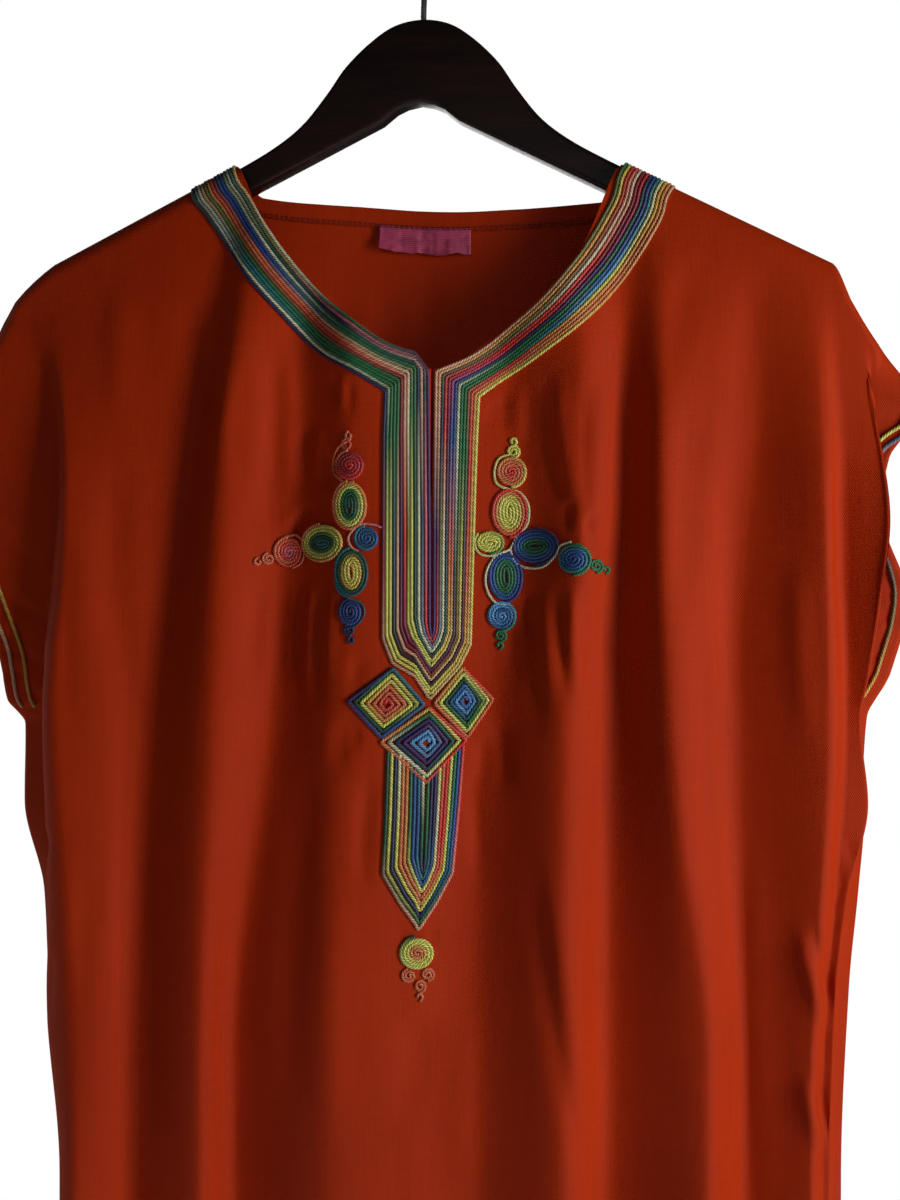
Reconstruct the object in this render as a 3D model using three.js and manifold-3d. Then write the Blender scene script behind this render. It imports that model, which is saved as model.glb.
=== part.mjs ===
// Moroccan kaftan on a wooden hanger.
// Millimetres. X is the viewer's right, Y points to the back, Z is up. The origin is the inside top
// of the hanger's hook, where a rod or a nail holds it.
import * as THREE from 'three';
import { mergeVertices } from 'three/addons/utils/BufferGeometryUtils.js';
import Module from 'manifold-3d';

const wasm = await Module();
wasm.setup();

// ---------------------------------------------------------------- driving sizes
const WALL = 1.2;               // cloth with its seam allowances
const SEAM_GAP = 0.3;           // between two sewn pieces
const TILT = (1.3 * Math.PI) / 180; // the garment sits off centre, so the hanger hangs right side low
const SHOULDER_PEAK = -85.6;    // where the two shoulder lines would meet, before the tilt
const SHOULDER_ANGLE = Math.atan(0.5);
const ROLL = 13;                // radius of the cloth over the hanger
const HEM_Z = -1500;            // lower edge of the garment
const SLIT_TOP = -261.5;        // the point of the V
const SLIT_DEPTH = 72;          // the slit below it, open at the top and closing downwards
const SLIT_WIDTH = [1.6, 0.5];
const SETTLE = 150;             // drop from the hanger over which the folds come in
const TOP_BLEND = 70;           // height over which a column runs in from its upper end

const LEVELS = { chest: -330, arm: -455, low: -650, hem: HEM_Z };
const UNDERARM = { left: -463, right: -453 };

const CORD_HEIGHT = 1.5;        // crest of a cord over its groove's foot
const GROOVE_HEIGHT = 0.9;
const LIFT = 0.9;               // from the cloth to the underside of the cord work
const FOLD_LIFT = 1.3;          // the same where the work crosses sharp folds

// ---------------------------------------------------------------- colours
const CLOTH = { color: 0xb03418, roughness: 0.62, metalness: 0 };
const CLOTH_BACK = { color: 0xa02c14, roughness: 0.62, metalness: 0 };
const CORD_GREEN = { color: 0x2f7f4a, roughness: 0.5, metalness: 0 };
const CORD_YELLOW = { color: 0xe2c23c, roughness: 0.5, metalness: 0 };
const CORD_BLUE = { color: 0x2c5fa0, roughness: 0.5, metalness: 0 };
const CORD_CORAL = { color: 0xd8503a, roughness: 0.5, metalness: 0 };
const CORD_PURPLE = { color: 0x54398c, roughness: 0.5, metalness: 0 };
const MAGENTA = { color: 0xa01c5c, roughness: 0.55, metalness: 0 };
const DARK_WOOD = { color: 0x24100c, roughness: 0.35, metalness: 0 };
const STEEL = { color: 0xb8babd, roughness: 0.25, metalness: 1 };

// ---------------------------------------------------------------- fold tables
// One row for each ridge or trough, from the wearer's right (viewer's left) to the other side.
// top: the column's upper end, on the shoulder line where topZ is null, else on the neckline.
// Then x and y at chest, underarm, low (thigh) and hem height.
const FOLD_COLUMNS = ['name', 'topX', 'topZ', 'chestX', 'chestY', 'armX', 'armY', 'lowX', 'lowY',
  'hemX', 'hemY', 'steps'];
const FRONT_FOLDS = [
  ['left ridge', -222, null, -197, -27, -201, -28, -192, -30, -196, -38, 2],
  ['slow flank', -186, null, -178, -22, -182, -22, -180, -22, -182, -27, 2],
  ['slow flank', -148, null, -156, -17, -170, -17, -176, -17, -177, -19, 2],
  ['trough', -112, null, -138, -14, -157, -14, -167, -14, -167, -15, 3],
  ['neck ridge', -93.7, -168, -111, -30, -118, -31, -125, -31, -124, -42, 3],
  ['trough', -64, -209, -73, -16, -84, -15, -107, -15, -105, -17, 4],
  ['chest ridge', -33, -234.5, -35, -29, -40, -30, -48, -32, -50, -42, 3],
  ['centre', 8, -261.5, 7, -25, 2, -24, -8, -24, -8, -31, 3],
  ['trough', 41, -243.6, 57, -17, 41, -16, 29, -15, 28, -16, 4],
  ['chest ridge', 86, -202, 92, -30, 81, -31, 80, -32, 78, -42, 3],
  ['trough', 114, null, 113, -15, 108, -14, 105, -14, 105, -15, 3],
  ['broad ridge', 138, null, 134, -30, 138, -32, 156, -34, 154, -44, 2],
  ['slow flank', 166, null, 158, -22, 158, -22, 169, -22, 168, -27, 2],
  ['trough', 194, null, 180, -14, 174, -14, 179, -14, 180, -15, 3],
  ['side ridge', 214, null, 218, -27, 220, -27, 211, -26, 210, -34, 2],
  ['side trough', 225, null, 229, -17, 230, -17, 218, -18, 219, -21, 2],
];
const BACK_FOLDS = [
  ['ridge', -215, null, -205, 24, -205, 24, -195, 26, -196, 38, 2],
  ['trough', -165, null, -160, 16, -160, 15, -155, 15, -156, 18, 2],
  ['neck ridge', -112, null, -115, 24, -112, 26, -112, 30, -110, 42, 2],
  ['trough', -99, -152.2, -68, 17, -66, 16, -66, 15, -66, 18, 2],
  ['ridge', -44, -158.9, -24, 22, -22, 25, -20, 29, -20, 40, 3],
  ['trough', 30, -165.2, 22, 17, 23, 16, 24, 15, 24, 18, 3],
  ['ridge', 101, -163.2, 66, 22, 66, 25, 67, 30, 66, 42, 2],
  ['trough', 114, null, 112, 16, 110, 15, 110, 15, 110, 18, 2],
  ['ridge', 160, null, 156, 24, 156, 25, 154, 30, 154, 40, 2],
  ['trough', 214, null, 208, 16, 204, 15, 200, 15, 200, 19, 2],
];

// The sides. Each row is a height; the columns are the fold that shows, the return behind it and the
// edge, which is the sleeve hem above the underarm and the side seam below it.
const SIDE_COLUMNS = ['z', 'foldX', 'foldY', 'turnX', 'turnY', 'edgeX', 'edgeY'];
const FRONT_LEFT = [
  [-285, -216, -17, -255, -14, -281, -4],
  [-330, -212, -16, -245, -13, -278, -8],
  [-380, -215, -17, -230, -11, -272, -8],
  [-425, -221, -20, -219, -10, -256, -6],
  [-448, -222, -21, -217, -9, -253, -3],
  [-463, -222, -21, -216, -9, -243, 0],
  [-509, -221, -20, -217, -9, -244, 1],
  [-562, -220, -19, -222, -9, -232, 2],
  [-620, -219, -19, -225, -10, -229, 2],
  [-723, -212, -20, -216, -10, -218, 2],
  [HEM_Z, -220, -24, -226, -11, -229, 2],
];
const FRONT_RIGHT = [
  [-285, 245, -20, 238, -8, 278, -2],
  [-300, 247, -21, 236, -7, 264, -3],
  [-311, 249, -22, 234, -6, 250, -3],
  [-345, 252, -24, 231, -6, 251, -3],
  [-389, 255, -24, 238, -6, 264, -4],
  [-429, 248, -22, 233, -6, 255, -3],
  [-453, 242, -18, 233, -6, 243, -2],
  [-498, 241, -17, 237, -7, 240, -3],
  [-547, 230, -18, 233, -12, 235, -8],
  [-600, 224, -19, 226, -15, 228, -11],
  [-700, 221, -18, 223, -15, 225, -12],
  [HEM_Z, 225, -24, 229, -16, 232, -10],
];
const BACK_LEFT = [
  [-285, -240, 18, -256, 16, -281, 8],
  [-330, -238, 18, -254, 17, -278, 13],
  [-380, -235, 18, -250, 16, -271, 12],
  [-425, -230, 17, -240, 13, -256, 7],
  [-448, -227, 17, -238, 11, -253, 3],
  [-463, -226, 17, -237, 9, -243, 0],
  [-509, -226, 17, -240, 9, -244, 1],
  [-562, -220, 17, -230, 10, -232, 2],
  [-620, -217, 17, -227, 10, -229, 2],
  [-723, -208, 17, -216, 10, -218, 2],
  [HEM_Z, -218, 20, -228, 11, -229, 2],
];
const BACK_RIGHT = [
  [-285, 236, 18, 252, 16, 274, 8],
  [-311, 234, 18, 246, 16, 257, 10],
  [-345, 230, 19, 243, 17, 252, 12],
  [-389, 231, 19, 244, 16, 260, 11],
  [-429, 230, 18, 243, 13, 254, 7],
  [-453, 229, 17, 240, 8, 243, -2],
  [-498, 228, 17, 243, 6, 240, -3],
  [-547, 226, 16, 239, 3, 235, -8],
  [-600, 222, 16, 234, 2, 228, -11],
  [-700, 218, 16, 230, 1, 225, -12],
  [HEM_Z, 222, 20, 237, 2, 232, -10],
];
// Upper ends of the outer columns: the shoulder past the hanger's end, down to the tip of the sleeve.
const SHOULDER_FALL = {
  left: { edge: [-284, -280], turn: [-268, -253.5], fold: [-250, -215.5] },
  right: { edge: [279, -289], turn: [252, -255], fold: [236, -229] },
};

const SIDE_KEYS = 3;            // fold, turn and edge
const SIDE_STEPS = 3;
const NECK_CORNERS = [0.06, 0.25]; // where the neckline crosses the hanger's top, in columns
const CENTRE_COLUMN = 10;       // the front's centre, in the middle of the neckline

// ---------------------------------------------------------------- small helpers
const rows = (columns, table) => table.map((row) =>
  Object.fromEntries(columns.map((name, i) => [name, row[i]])));
const mix = (a, b, t) => a + (b - a) * t;
const clamp = (value, low, high) => Math.min(high, Math.max(low, value));
const ease = (t) => {
  const s = clamp(t, 0, 1);
  return s * s * (3 - 2 * s);
};

// A smooth curve through knots (t, v) that never swings past them.
function glide(knots, t) {
  const last = knots.length - 1;
  if (t <= knots[0][0]) return knots[0][1];
  if (t >= knots[last][0]) return knots[last][1];
  let i = 0;
  while (t > knots[i + 1][0]) i += 1;
  const rise = (k) => (knots[k + 1][1] - knots[k][1]) / (knots[k + 1][0] - knots[k][0]);
  const slope = (k) => {
    if (k === 0 || k === last) return rise(Math.min(k, last - 1));
    const before = rise(k - 1);
    const after = rise(k);
    return before * after <= 0 ? 0 : (2 * before * after) / (before + after);
  };
  const span = knots[i + 1][0] - knots[i][0];
  const s = (t - knots[i][0]) / span;
  const s2 = s * s;
  const s3 = s2 * s;
  return (2 * s3 - 3 * s2 + 1) * knots[i][1] + (s3 - 2 * s2 + s) * span * slope(i)
    + (3 * s2 - 2 * s3) * knots[i + 1][1] + (s3 - s2) * span * slope(i + 1);
}

// Height of the shoulder line over the hanger; it drops on the right by the tilt.
function shoulderZ(x) {
  const peakX = SHOULDER_PEAK * Math.sin(TILT);
  const peakZ = SHOULDER_PEAK * Math.cos(TILT);
  const side = x < peakX ? -1 : 1;
  return peakZ - Math.abs(x - peakX) * Math.tan(SHOULDER_ANGLE + side * TILT);
}

// ---------------------------------------------------------------- panels as columns of folds
// A column knows its upper end and its x and y at any height.
function column(top, onShoulder, knots, steps) {
  const byHeight = [...knots].sort((a, b) => a[0] - b[0]);
  return {
    top,
    onShoulder,
    steps,
    x: (z) => glide([...byHeight.map(([h, x]) => [h, x]), [top[1], top[0]]], Math.min(z, top[1])),
    y: (z) => glide(byHeight.map(([h, , y]) => [h, y]), z),
  };
}

function sideColumns(side, table, sign) {
  const heights = rows(SIDE_COLUMNS, table);
  const make = (name) => column(SHOULDER_FALL[side][name], true,
    heights.map((r) => [r.z, r[`${name}X`], r[`${name}Y`]]), SIDE_STEPS);
  const list = [make('fold'), make('turn'), make('edge')];
  return sign < 0 ? list.reverse() : list;
}

function foldColumns(table) {
  return rows(FOLD_COLUMNS, table).map((r) => column(
    [r.topX, r.topZ ?? shoulderZ(r.topX)], r.topZ === null,
    [[LEVELS.chest, r.chestX, r.chestY], [LEVELS.arm, r.armX, r.armY], [LEVELS.low, r.lowX, r.lowY],
      [LEVELS.hem, r.hemX, r.hemY]],
    r.steps));
}

function panel(face, left, table, right) {
  const keys = [...sideColumns('left', left, -1), ...foldColumns(table),
    ...sideColumns('right', right, 1)];
  const across = (u, read) => glide(keys.map((key, i) => [i, read(key)]), u);
  const neckStart = keys.findIndex((key) => !key.onShoulder) - 1;
  const neckEnd = keys.findLastIndex((key) => !key.onShoulder) + 1;
  const onShoulder = (u) => u <= neckStart || u >= neckEnd;
  // 0 over the hanger, 1 in the outer columns that hang past its end.
  const past = (u) => clamp(Math.max(SIDE_KEYS - u, u - (keys.length - 1 - SIDE_KEYS)), 0, 1);
  const topOf = (u) => {
    const topX = across(u, (key) => key.top[0]);
    const onLine = onShoulder(u) && past(u) === 0;
    return [topX, onLine ? shoulderZ(topX) : across(u, (key) => key.top[1])];
  };
  const rawX = (u, z) => across(u, (key) => key.x(z));
  // Height of the crest that the cloth rolls over, above a point of column u.
  const crest = (u, px) => {
    if (!onShoulder(u)) return shoulderZ(px);
    const [topX, topZ] = topOf(u);
    return topZ + (shoulderZ(px) - shoulderZ(topX)) * (1 - past(u));
  };
  const x = (u, z) => {
    const top = topOf(u);
    const miss = top[0] - rawX(u, top[1]);
    return rawX(u, z) + miss * (1 - ease((top[1] - z) / TOP_BLEND));
  };
  const point = (u, z) => {
    const px = x(u, z);
    const drop = Math.max(0, crest(u, px) - z);
    const roll = drop < ROLL ? Math.sqrt(1 - (1 - drop / ROLL) ** 2) : 1;
    // Just below the hanger the cloth stands one roll's radius deep; its folds come in further down.
    const settled = ease(drop / SETTLE);
    const folded = across(u, (key) => key.y(z));
    const plain = Math.min(ROLL, mix(ROLL, Math.abs(folded), settled));
    return new THREE.Vector3(px, mix(face * plain, folded, settled) * roll, z);
  };
  return { face, keys, neckStart, neckEnd, topOf, onShoulder, point, x };
}

const front = panel(-1, FRONT_LEFT, FRONT_FOLDS, FRONT_RIGHT);
const back = panel(1, BACK_LEFT, BACK_FOLDS, BACK_RIGHT);
const lastKey = (p) => p.keys.length - 1;

// ---------------------------------------------------------------- mesh building
function solid(name, vertices, triangles, material) {
  const geometry = new THREE.BufferGeometry();
  const places = vertices.flatMap((v) => [v.x, v.y, v.z]);
  geometry.setAttribute('position', new THREE.Float32BufferAttribute(places, 3));
  geometry.setIndex(triangles.flat());
  geometry.computeVertexNormals();
  const mesh = new THREE.Mesh(geometry, new THREE.MeshStandardMaterial(material));
  mesh.name = name;
  return mesh;
}

// Gives a sheet of triangles a wall: outer points, inner points, and a rim along every free edge.
function wall(name, points, triangles, material, thickness, flatAt) {
  const normals = points.map(() => new THREE.Vector3());
  for (const [a, b, c] of triangles) {
    const n = new THREE.Vector3().subVectors(points[b], points[a])
      .cross(new THREE.Vector3().subVectors(points[c], points[a]));
    for (const i of [a, b, c]) normals[i].add(n);
  }
  normals.forEach((n, i) => {
    if (flatAt(i)) n.y = 0;
    n.normalize();
  });
  const inner = points.map((p, i) => p.clone().addScaledVector(normals[i], -thickness));
  const count = points.length;
  const edges = new Map();
  for (const t of triangles) {
    for (let i = 0; i < 3; i += 1) edges.set(`${t[i]},${t[(i + 1) % 3]}`, [t[i], t[(i + 1) % 3]]);
  }
  const rim = [...edges.values()].filter(([a, b]) => !edges.has(`${b},${a}`));
  const all = [...triangles, ...triangles.map(([a, b, c]) => [c + count, b + count, a + count])];
  for (const [a, b] of rim) all.push([b, a, a + count], [b, a + count, b + count]);
  return solid(name, [...points, ...inner], all, material);
}

// Heights down one column: close over the hanger, even to the underarm, then wider to the hem.
const ROLL_ROWS = [0, 0.06, 0.29, 1];
const UPPER_ROWS = 8;
const LOWER_ROWS = [0.025, 0.06, 0.105, 0.16, 0.24, 0.35, 0.52, 0.74, 1];
function heights(p, u) {
  const top = p.topOf(u)[1];
  const underarm = mix(UNDERARM.left, UNDERARM.right, u / lastKey(p));
  const start = top - ROLL;
  return [
    ...ROLL_ROWS.map((r) => top - r * ROLL),
    ...Array.from({ length: UPPER_ROWS }, (_, i) => mix(start, underarm, (i + 1) / UPPER_ROWS)),
    ...LOWER_ROWS.map((r) => mix(underarm, HEM_Z, r)),
  ];
}
const ROW_COUNT = ROLL_ROWS.length + UPPER_ROWS + LOWER_ROWS.length;
const UNDERARM_ROW = ROLL_ROWS.length + UPPER_ROWS - 1;

function columnPlaces(p) {
  const places = [0];
  for (let k = 0; k < lastKey(p); k += 1) {
    const { steps } = p.keys[k];
    for (let s = 1; s <= steps; s += 1) places.push(k + s / steps);
  }
  for (const corner of NECK_CORNERS) places.push(p.neckStart + corner, p.neckEnd - corner);
  return places.sort((a, b) => a - b);
}

function panelMesh(name, p, material, slit) {
  const places = columnPlaces(p);
  const centre = slit ? places.indexOf(CENTRE_COLUMN) : -1;
  const points = [];
  const seam = new Set();
  const index = new Map();
  const seamY = (p.face * SEAM_GAP) / 2;
  places.forEach((u, j) => {
    heights(p, u).forEach((z, i) => {
      const point = p.point(u, z);
      const onShoulder = i === 0 && p.onShoulder(u);
      const onSide = (j === 0 || j === places.length - 1) && i >= UNDERARM_ROW;
      if (onShoulder) point.y = 0;
      if (onShoulder || onSide) point.y += seamY;
      const open = j === centre ? slit(z) / 2 : 0;
      for (const side of open > 0 ? [-1, 1] : [0]) {
        const copy = point.clone();
        copy.x += side * open;
        index.set(`${j},${i},${side}`, points.length);
        if (onShoulder || onSide) seam.add(points.length);
        points.push(copy);
      }
    });
  });
  const at = (j, i, side) => index.get(`${j},${i},${side}`) ?? index.get(`${j},${i},0`);
  const triangles = [];
  for (let j = 0; j < places.length - 1; j += 1) {
    for (let i = 0; i < ROW_COUNT - 1; i += 1) {
      const leftSide = j === centre ? 1 : 0;
      const rightSide = j + 1 === centre ? -1 : 0;
      const a = at(j, i, leftSide);
      const b = at(j + 1, i, rightSide);
      const c = at(j + 1, i + 1, rightSide);
      const d = at(j, i + 1, leftSide);
      const quad = p.face < 0 ? [[a, d, c], [a, c, b]] : [[a, c, d], [a, b, c]];
      triangles.push(...quad);
    }
  }
  return wall(name, points, triangles, material, WALL, (i) => seam.has(i));
}

const slitWidth = (z) => {
  const depth = (SLIT_TOP - z) / SLIT_DEPTH;
  return depth < 0.999 ? mix(...SLIT_WIDTH, depth) : 0;
};

// ---------------------------------------------------------------- places on the cloth
// Distance down the cloth from the crest over the hanger, for a place at height z.
function slack(x, z) {
  const drop = Math.max(0, shoulderZ(x) - z);
  if (drop >= ROLL) return drop - ROLL + (ROLL * Math.PI) / 2;
  return ROLL * Math.acos(1 - drop / ROLL);
}

function heightAt(x, s) {
  const quarter = (ROLL * Math.PI) / 2;
  const drop = s < quarter ? ROLL * (1 - Math.cos(s / ROLL)) : ROLL + s - quarter;
  return shoulderZ(x) - drop;
}

const SEARCH_STEPS = 26;
function clothPoint(p, x, s) {
  const z = heightAt(x, s);
  let low = SIDE_KEYS - 1;
  let high = lastKey(p) - SIDE_KEYS + 1;
  for (let i = 0; i < SEARCH_STEPS; i += 1) {
    const middle = (low + high) / 2;
    if (p.x(middle, z) < x) low = middle;
    else high = middle;
  }
  return p.point((low + high) / 2, z);
}

// The point of a panel at x and s, moved off the cloth; a negative distance goes inside.
const NORMAL_REACH = 1.5;       // how far to each side the cloth's slope is read
function offCloth(p, x, s, distance) {
  const down = Math.max(s, NORMAL_REACH);
  const alongX = clothPoint(p, x + NORMAL_REACH, down).sub(clothPoint(p, x - NORMAL_REACH, down));
  const alongS = clothPoint(p, x, down + NORMAL_REACH).sub(clothPoint(p, x, down - NORMAL_REACH));
  const normal = p.face < 0 ? alongS.cross(alongX) : alongX.cross(alongS);
  return clothPoint(p, x, s).addScaledVector(normal.normalize(), distance);
}

// ---------------------------------------------------------------- cord work
// A closed body from equal rings of points, with a flat or shallow cap at each end.
function loft(name, rings, profile, material) {
  const size = rings[0].length;
  const triangles = [];
  for (let r = 0; r < rings.length - 1; r += 1) {
    for (let i = 0; i < size; i += 1) {
      const a = r * size + i;
      const b = r * size + ((i + 1) % size);
      triangles.push([a, b, b + size], [a, b + size, a + size]);
    }
  }
  const last = (rings.length - 1) * size;
  const clockwise = THREE.ShapeUtils.isClockWise(profile);
  for (const cap of THREE.ShapeUtils.triangulateShape(profile, [])) {
    const [a, b, c] = clockwise ? [...cap].reverse() : cap;
    triangles.push([c, b, a], [last + a, last + b, last + c]);
  }
  return orient(solid(name, rings.flat(), triangles, material));
}

// Turns a closed body's triangles round if they face inwards.
function orient(mesh) {
  const position = mesh.geometry.attributes.position;
  const index = mesh.geometry.index;
  const corner = (i) => new THREE.Vector3().fromBufferAttribute(position, index.getX(i));
  let volume = 0;
  for (let i = 0; i < index.count; i += 3) volume += corner(i).dot(corner(i + 1).cross(corner(i + 2)));
  if (volume > 0) return mesh;
  for (let i = 0; i < index.count; i += 3) {
    const keep = index.getX(i);
    index.setX(i, index.getX(i + 2));
    index.setX(i + 2, keep);
  }
  mesh.geometry.computeVertexNormals();
  return mesh;
}

// Parallel cords between an outer and an inner line. Every station runs across all of them.
const NEST_COLUMNS = ['outerX', 'outerZ', 'innerX', 'innerZ'];
const NEST_UNDERSIDE = 7;       // spans of the plain underside
function nest(name, table, cords, lift, material) {
  const rings = rows(NEST_COLUMNS, table).map((station) => {
    const outer = [station.outerX, slack(station.outerX, station.outerZ)];
    const inner = [station.innerX, slack(station.innerX, station.innerZ)];
    const at = (f, height) => offCloth(front, mix(outer[0], inner[0], f), mix(outer[1], inner[1], f), height);
    const ridge = Array.from({ length: 2 * cords + 1 }, (_, i) =>
      at(i / (2 * cords), lift + (i % 2 ? CORD_HEIGHT + GROOVE_HEIGHT : GROOVE_HEIGHT)));
    const under = Array.from({ length: NEST_UNDERSIDE + 1 }, (_, i) => at(1 - i / NEST_UNDERSIDE, lift));
    return [...ridge, ...under];
  });
  const profile = [
    ...Array.from({ length: 2 * cords + 1 }, (_, i) =>
      new THREE.Vector2(i / (2 * cords), i % 2 ? CORD_HEIGHT + GROOVE_HEIGHT : GROOVE_HEIGHT)),
    ...Array.from({ length: NEST_UNDERSIDE + 1 }, (_, i) =>
      new THREE.Vector2(1 - i / NEST_UNDERSIDE, -0.1 * Math.sin((Math.PI * i) / NEST_UNDERSIDE))),
  ];
  return loft(name, rings, profile, material);
}

// A coil or nest of closed rounds: the outline shrinks to its centre over crests and grooves.
function mound(name, centre, outline, rounds, underRounds, lift, material) {
  const [cx, cz] = centre;
  const sides = outline.length;
  const levels = 2 * rounds;
  const at = (i, f, height) => {
    const x = cx + outline[i][0] * f;
    return offCloth(front, x, slack(x, cz + outline[i][1] * f), height);
  };
  const crest = lift + GROOVE_HEIGHT + CORD_HEIGHT;
  const points = [];
  for (let level = 0; level < levels; level += 1) {
    const height = level % 2 ? crest : lift + GROOVE_HEIGHT;
    for (let i = 0; i < sides; i += 1) points.push(at(i, 1 - level / levels, height));
  }
  const top = points.push(at(0, 0, crest)) - 1;
  const rim = points.length;
  for (let r = 0; r < underRounds; r += 1) {
    for (let i = 0; i < sides; i += 1) points.push(at(i, 1 - r / underRounds, lift));
  }
  const bottom = points.push(at(0, 0, lift)) - 1;
  const lastUnder = rim + (underRounds - 1) * sides;
  const triangles = [];
  for (let i = 0; i < sides; i += 1) {
    const next = (i + 1) % sides;
    for (let level = 0; level < levels - 1; level += 1) {
      const a = level * sides;
      triangles.push([a + i, a + next, a + sides + next], [a + i, a + sides + next, a + sides + i]);
    }
    const last = (levels - 1) * sides;
    triangles.push([last + i, last + next, top], [rim + i, rim + next, next], [rim + i, next, i],
      [lastUnder + next, lastUnder + i, bottom]);
    for (let r = 0; r < underRounds - 1; r += 1) {
      const a = rim + r * sides;
      triangles.push([a + next, a + i, a + sides + i], [a + next, a + sides + i, a + sides + next]);
    }
  }
  return orient(solid(name, points, triangles, material));
}

const oval = (rx, rz, sides) => Array.from({ length: sides }, (_, i) => {
  const angle = (i / sides) * 2 * Math.PI;
  return [rx * Math.cos(angle), rz * Math.sin(angle)];
});

// Joins overlapping bodies into one.
function fuse(name, meshes, material) {
  const body = meshes.map((mesh) => {
    const bare = mesh.geometry.clone();
    bare.deleteAttribute('normal');
    const merged = mergeVertices(bare, 1e-5);
    return new wasm.Manifold(new wasm.Mesh({
      numProp: 3,
      vertProperties: merged.attributes.position.array,
      triVerts: new Uint32Array(merged.index.array),
    }));
  }).reduce((sum, piece) => sum.add(piece));
  const { vertProperties, triVerts } = body.getMesh();
  const geometry = new THREE.BufferGeometry();
  geometry.setAttribute('position', new THREE.BufferAttribute(vertProperties, 3));
  geometry.setIndex(new THREE.BufferAttribute(triVerts, 1));
  geometry.computeVertexNormals();
  const mesh = new THREE.Mesh(geometry, new THREE.MeshStandardMaterial(material));
  mesh.name = name;
  return mesh;
}

const COIL_COLUMNS = ['x', 'z', 'rx', 'rz'];
const COIL_OVERLAP = 1.0;       // neighbouring coils are sewn hard against each other
const SMALL_COIL = { below: 5, rounds: 1, sides: 7 };
const LARGE_COIL = { rounds: 2, sides: 10 };
function coils(name, table, lift, material) {
  return fuse(name, rows(COIL_COLUMNS, table).map((coil, i) => {
    const { rounds, sides } = coil.rx < SMALL_COIL.below ? SMALL_COIL : LARGE_COIL;
    return mound(`${name}_${i}`, [coil.x, coil.z],
      oval(coil.rx + COIL_OVERLAP, coil.rz + COIL_OVERLAP, sides), rounds, 1, lift, material);
  }), material);
}

// The band's end lies over the hanger: its first stations go down the roll with the cloth's own rows.
const TURN_LEAN = 0.35;         // sideways run of the band for its drop
function shoulderTurn(outerX, innerX) {
  return ROLL_ROWS.map((r) => {
    const drop = r * ROLL;
    const shift = Math.sign(outerX) * -TURN_LEAN * drop;
    return [outerX, innerX].flatMap((x) => [x + shift, shoulderZ(x + shift) - drop]);
  });
}

// Neck band, placket and its point, from the left shoulder round to the right one.
const NECK_CORDS = 11;
const NECK_STATIONS = [
  ...shoulderTurn(-137.5, -111),
  [-128.5, -165.5, -100, -157],
  [-118, -180, -90, -174],
  [-110, -192.4, -83.3, -184.3],
  [-101.5, -204, -76, -194],
  [-91.8, -216, -67.7, -204.2],
  [-81.5, -227, -59, -213.5],
  [-70.5, -239, -49.8, -222.3],
  [-59, -249.4, -40, -230],
  [-45.5, -257.6, -28.3, -238.5],
  [-32.8, -265, -17, -246.5],
  [-18.7, -274.1, 6.2, -263.5],
  [-19.8, -300, 6.3, -300],
  [-20, -350, 6.0, -350],
  [-20.2, -411, 5.6, -402],
  [-14.8, -425, 5.8, -406],
  [6, -445, 7.0, -409.5],
  [22.3, -427, 8.2, -406],
  [28.8, -414, 8.6, -402],
  [31, -350, 8.9, -350],
  [32.6, -300, 9.2, -300],
  [33.7, -277, 9.6, -263.8],
  [45.2, -268.5, 27, -254.5],
  [55.6, -263, 37, -247.6],
  [65.8, -256.7, 47, -240.5],
  [78.5, -248.3, 58.3, -232.3],
  [90.1, -239.6, 69, -223],
  [100.8, -228.6, 78.6, -212.2],
  [110.5, -216.5, 87.5, -200.5],
  [119.5, -204.5, 94.5, -189],
  [127.7, -191.7, 101, -177],
  [134.5, -178, 106.5, -165.5],
  ...shoulderTurn(140.5, 113).reverse(),
];
const TONGUE_CORDS = 9;
const TONGUE_STATIONS = [
  [-17.5, -474.2, 3.4, -493.6],
  [-18.8, -510, 2.8, -512],
  [-20.5, -541, 1.8, -532],
  [-10.8, -558, 1.4, -537],
  [-0.6, -573.5, 1.9, -538.5],
  [9.4, -558, 2.6, -537],
  [18.5, -541, 3.2, -532],
  [21.8, -508, 3.9, -512],
  [25.1, -472.4, 4.6, -493.6],
];
// Corners: upper, outer, lower, inner, then the centre.
const LOZENGE_COLUMNS = ['name', 'corners', 'centre', 'material'];
const LOZENGES = [
  ['left', [[-14, -427], [-38.2, -445], [-20.2, -464.6], [2.8, -446.7]], [-17.4, -446.9], CORD_PURPLE],
  ['right', [[23.9, -426.7], [40.4, -444.1], [26.1, -465], [8.6, -446.1]], [25.5, -445.2], CORD_CORAL],
  ['lower', [[5.7, -449.2], [25.1, -466.5], [4.1, -489.4], [-20, -467.3]], [4.6, -468], CORD_CORAL],
];
const LOZENGE_ROUNDS = 5;
const SPRAY_LEFT = [
  [-38.2, -298.1, 1.7, 2.2], [-39.4, -302.5, 3.4, 3.3], [-37.7, -314.3, 8.5, 8.4],
  [-37.7, -336.6, 10.2, 13.9], [-52.5, -357.1, 12.6, 10.6], [-28.2, -354.8, 6.8, 6.7],
  [-38.6, -356.4, 4.6, 4.6], [-36.5, -372.8, 9.7, 12.8], [-37.1, -394.2, 6.4, 8.2],
  [-37.7, -405.6, 3.4, 3.3], [-36.5, -411, 1.7, 2.2], [-73.6, -361.8, 8.8, 8.7],
  [-85.8, -365.6, 3.5, 3.4], [-91, -367.4, 2.3, 2.3],
];
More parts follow.
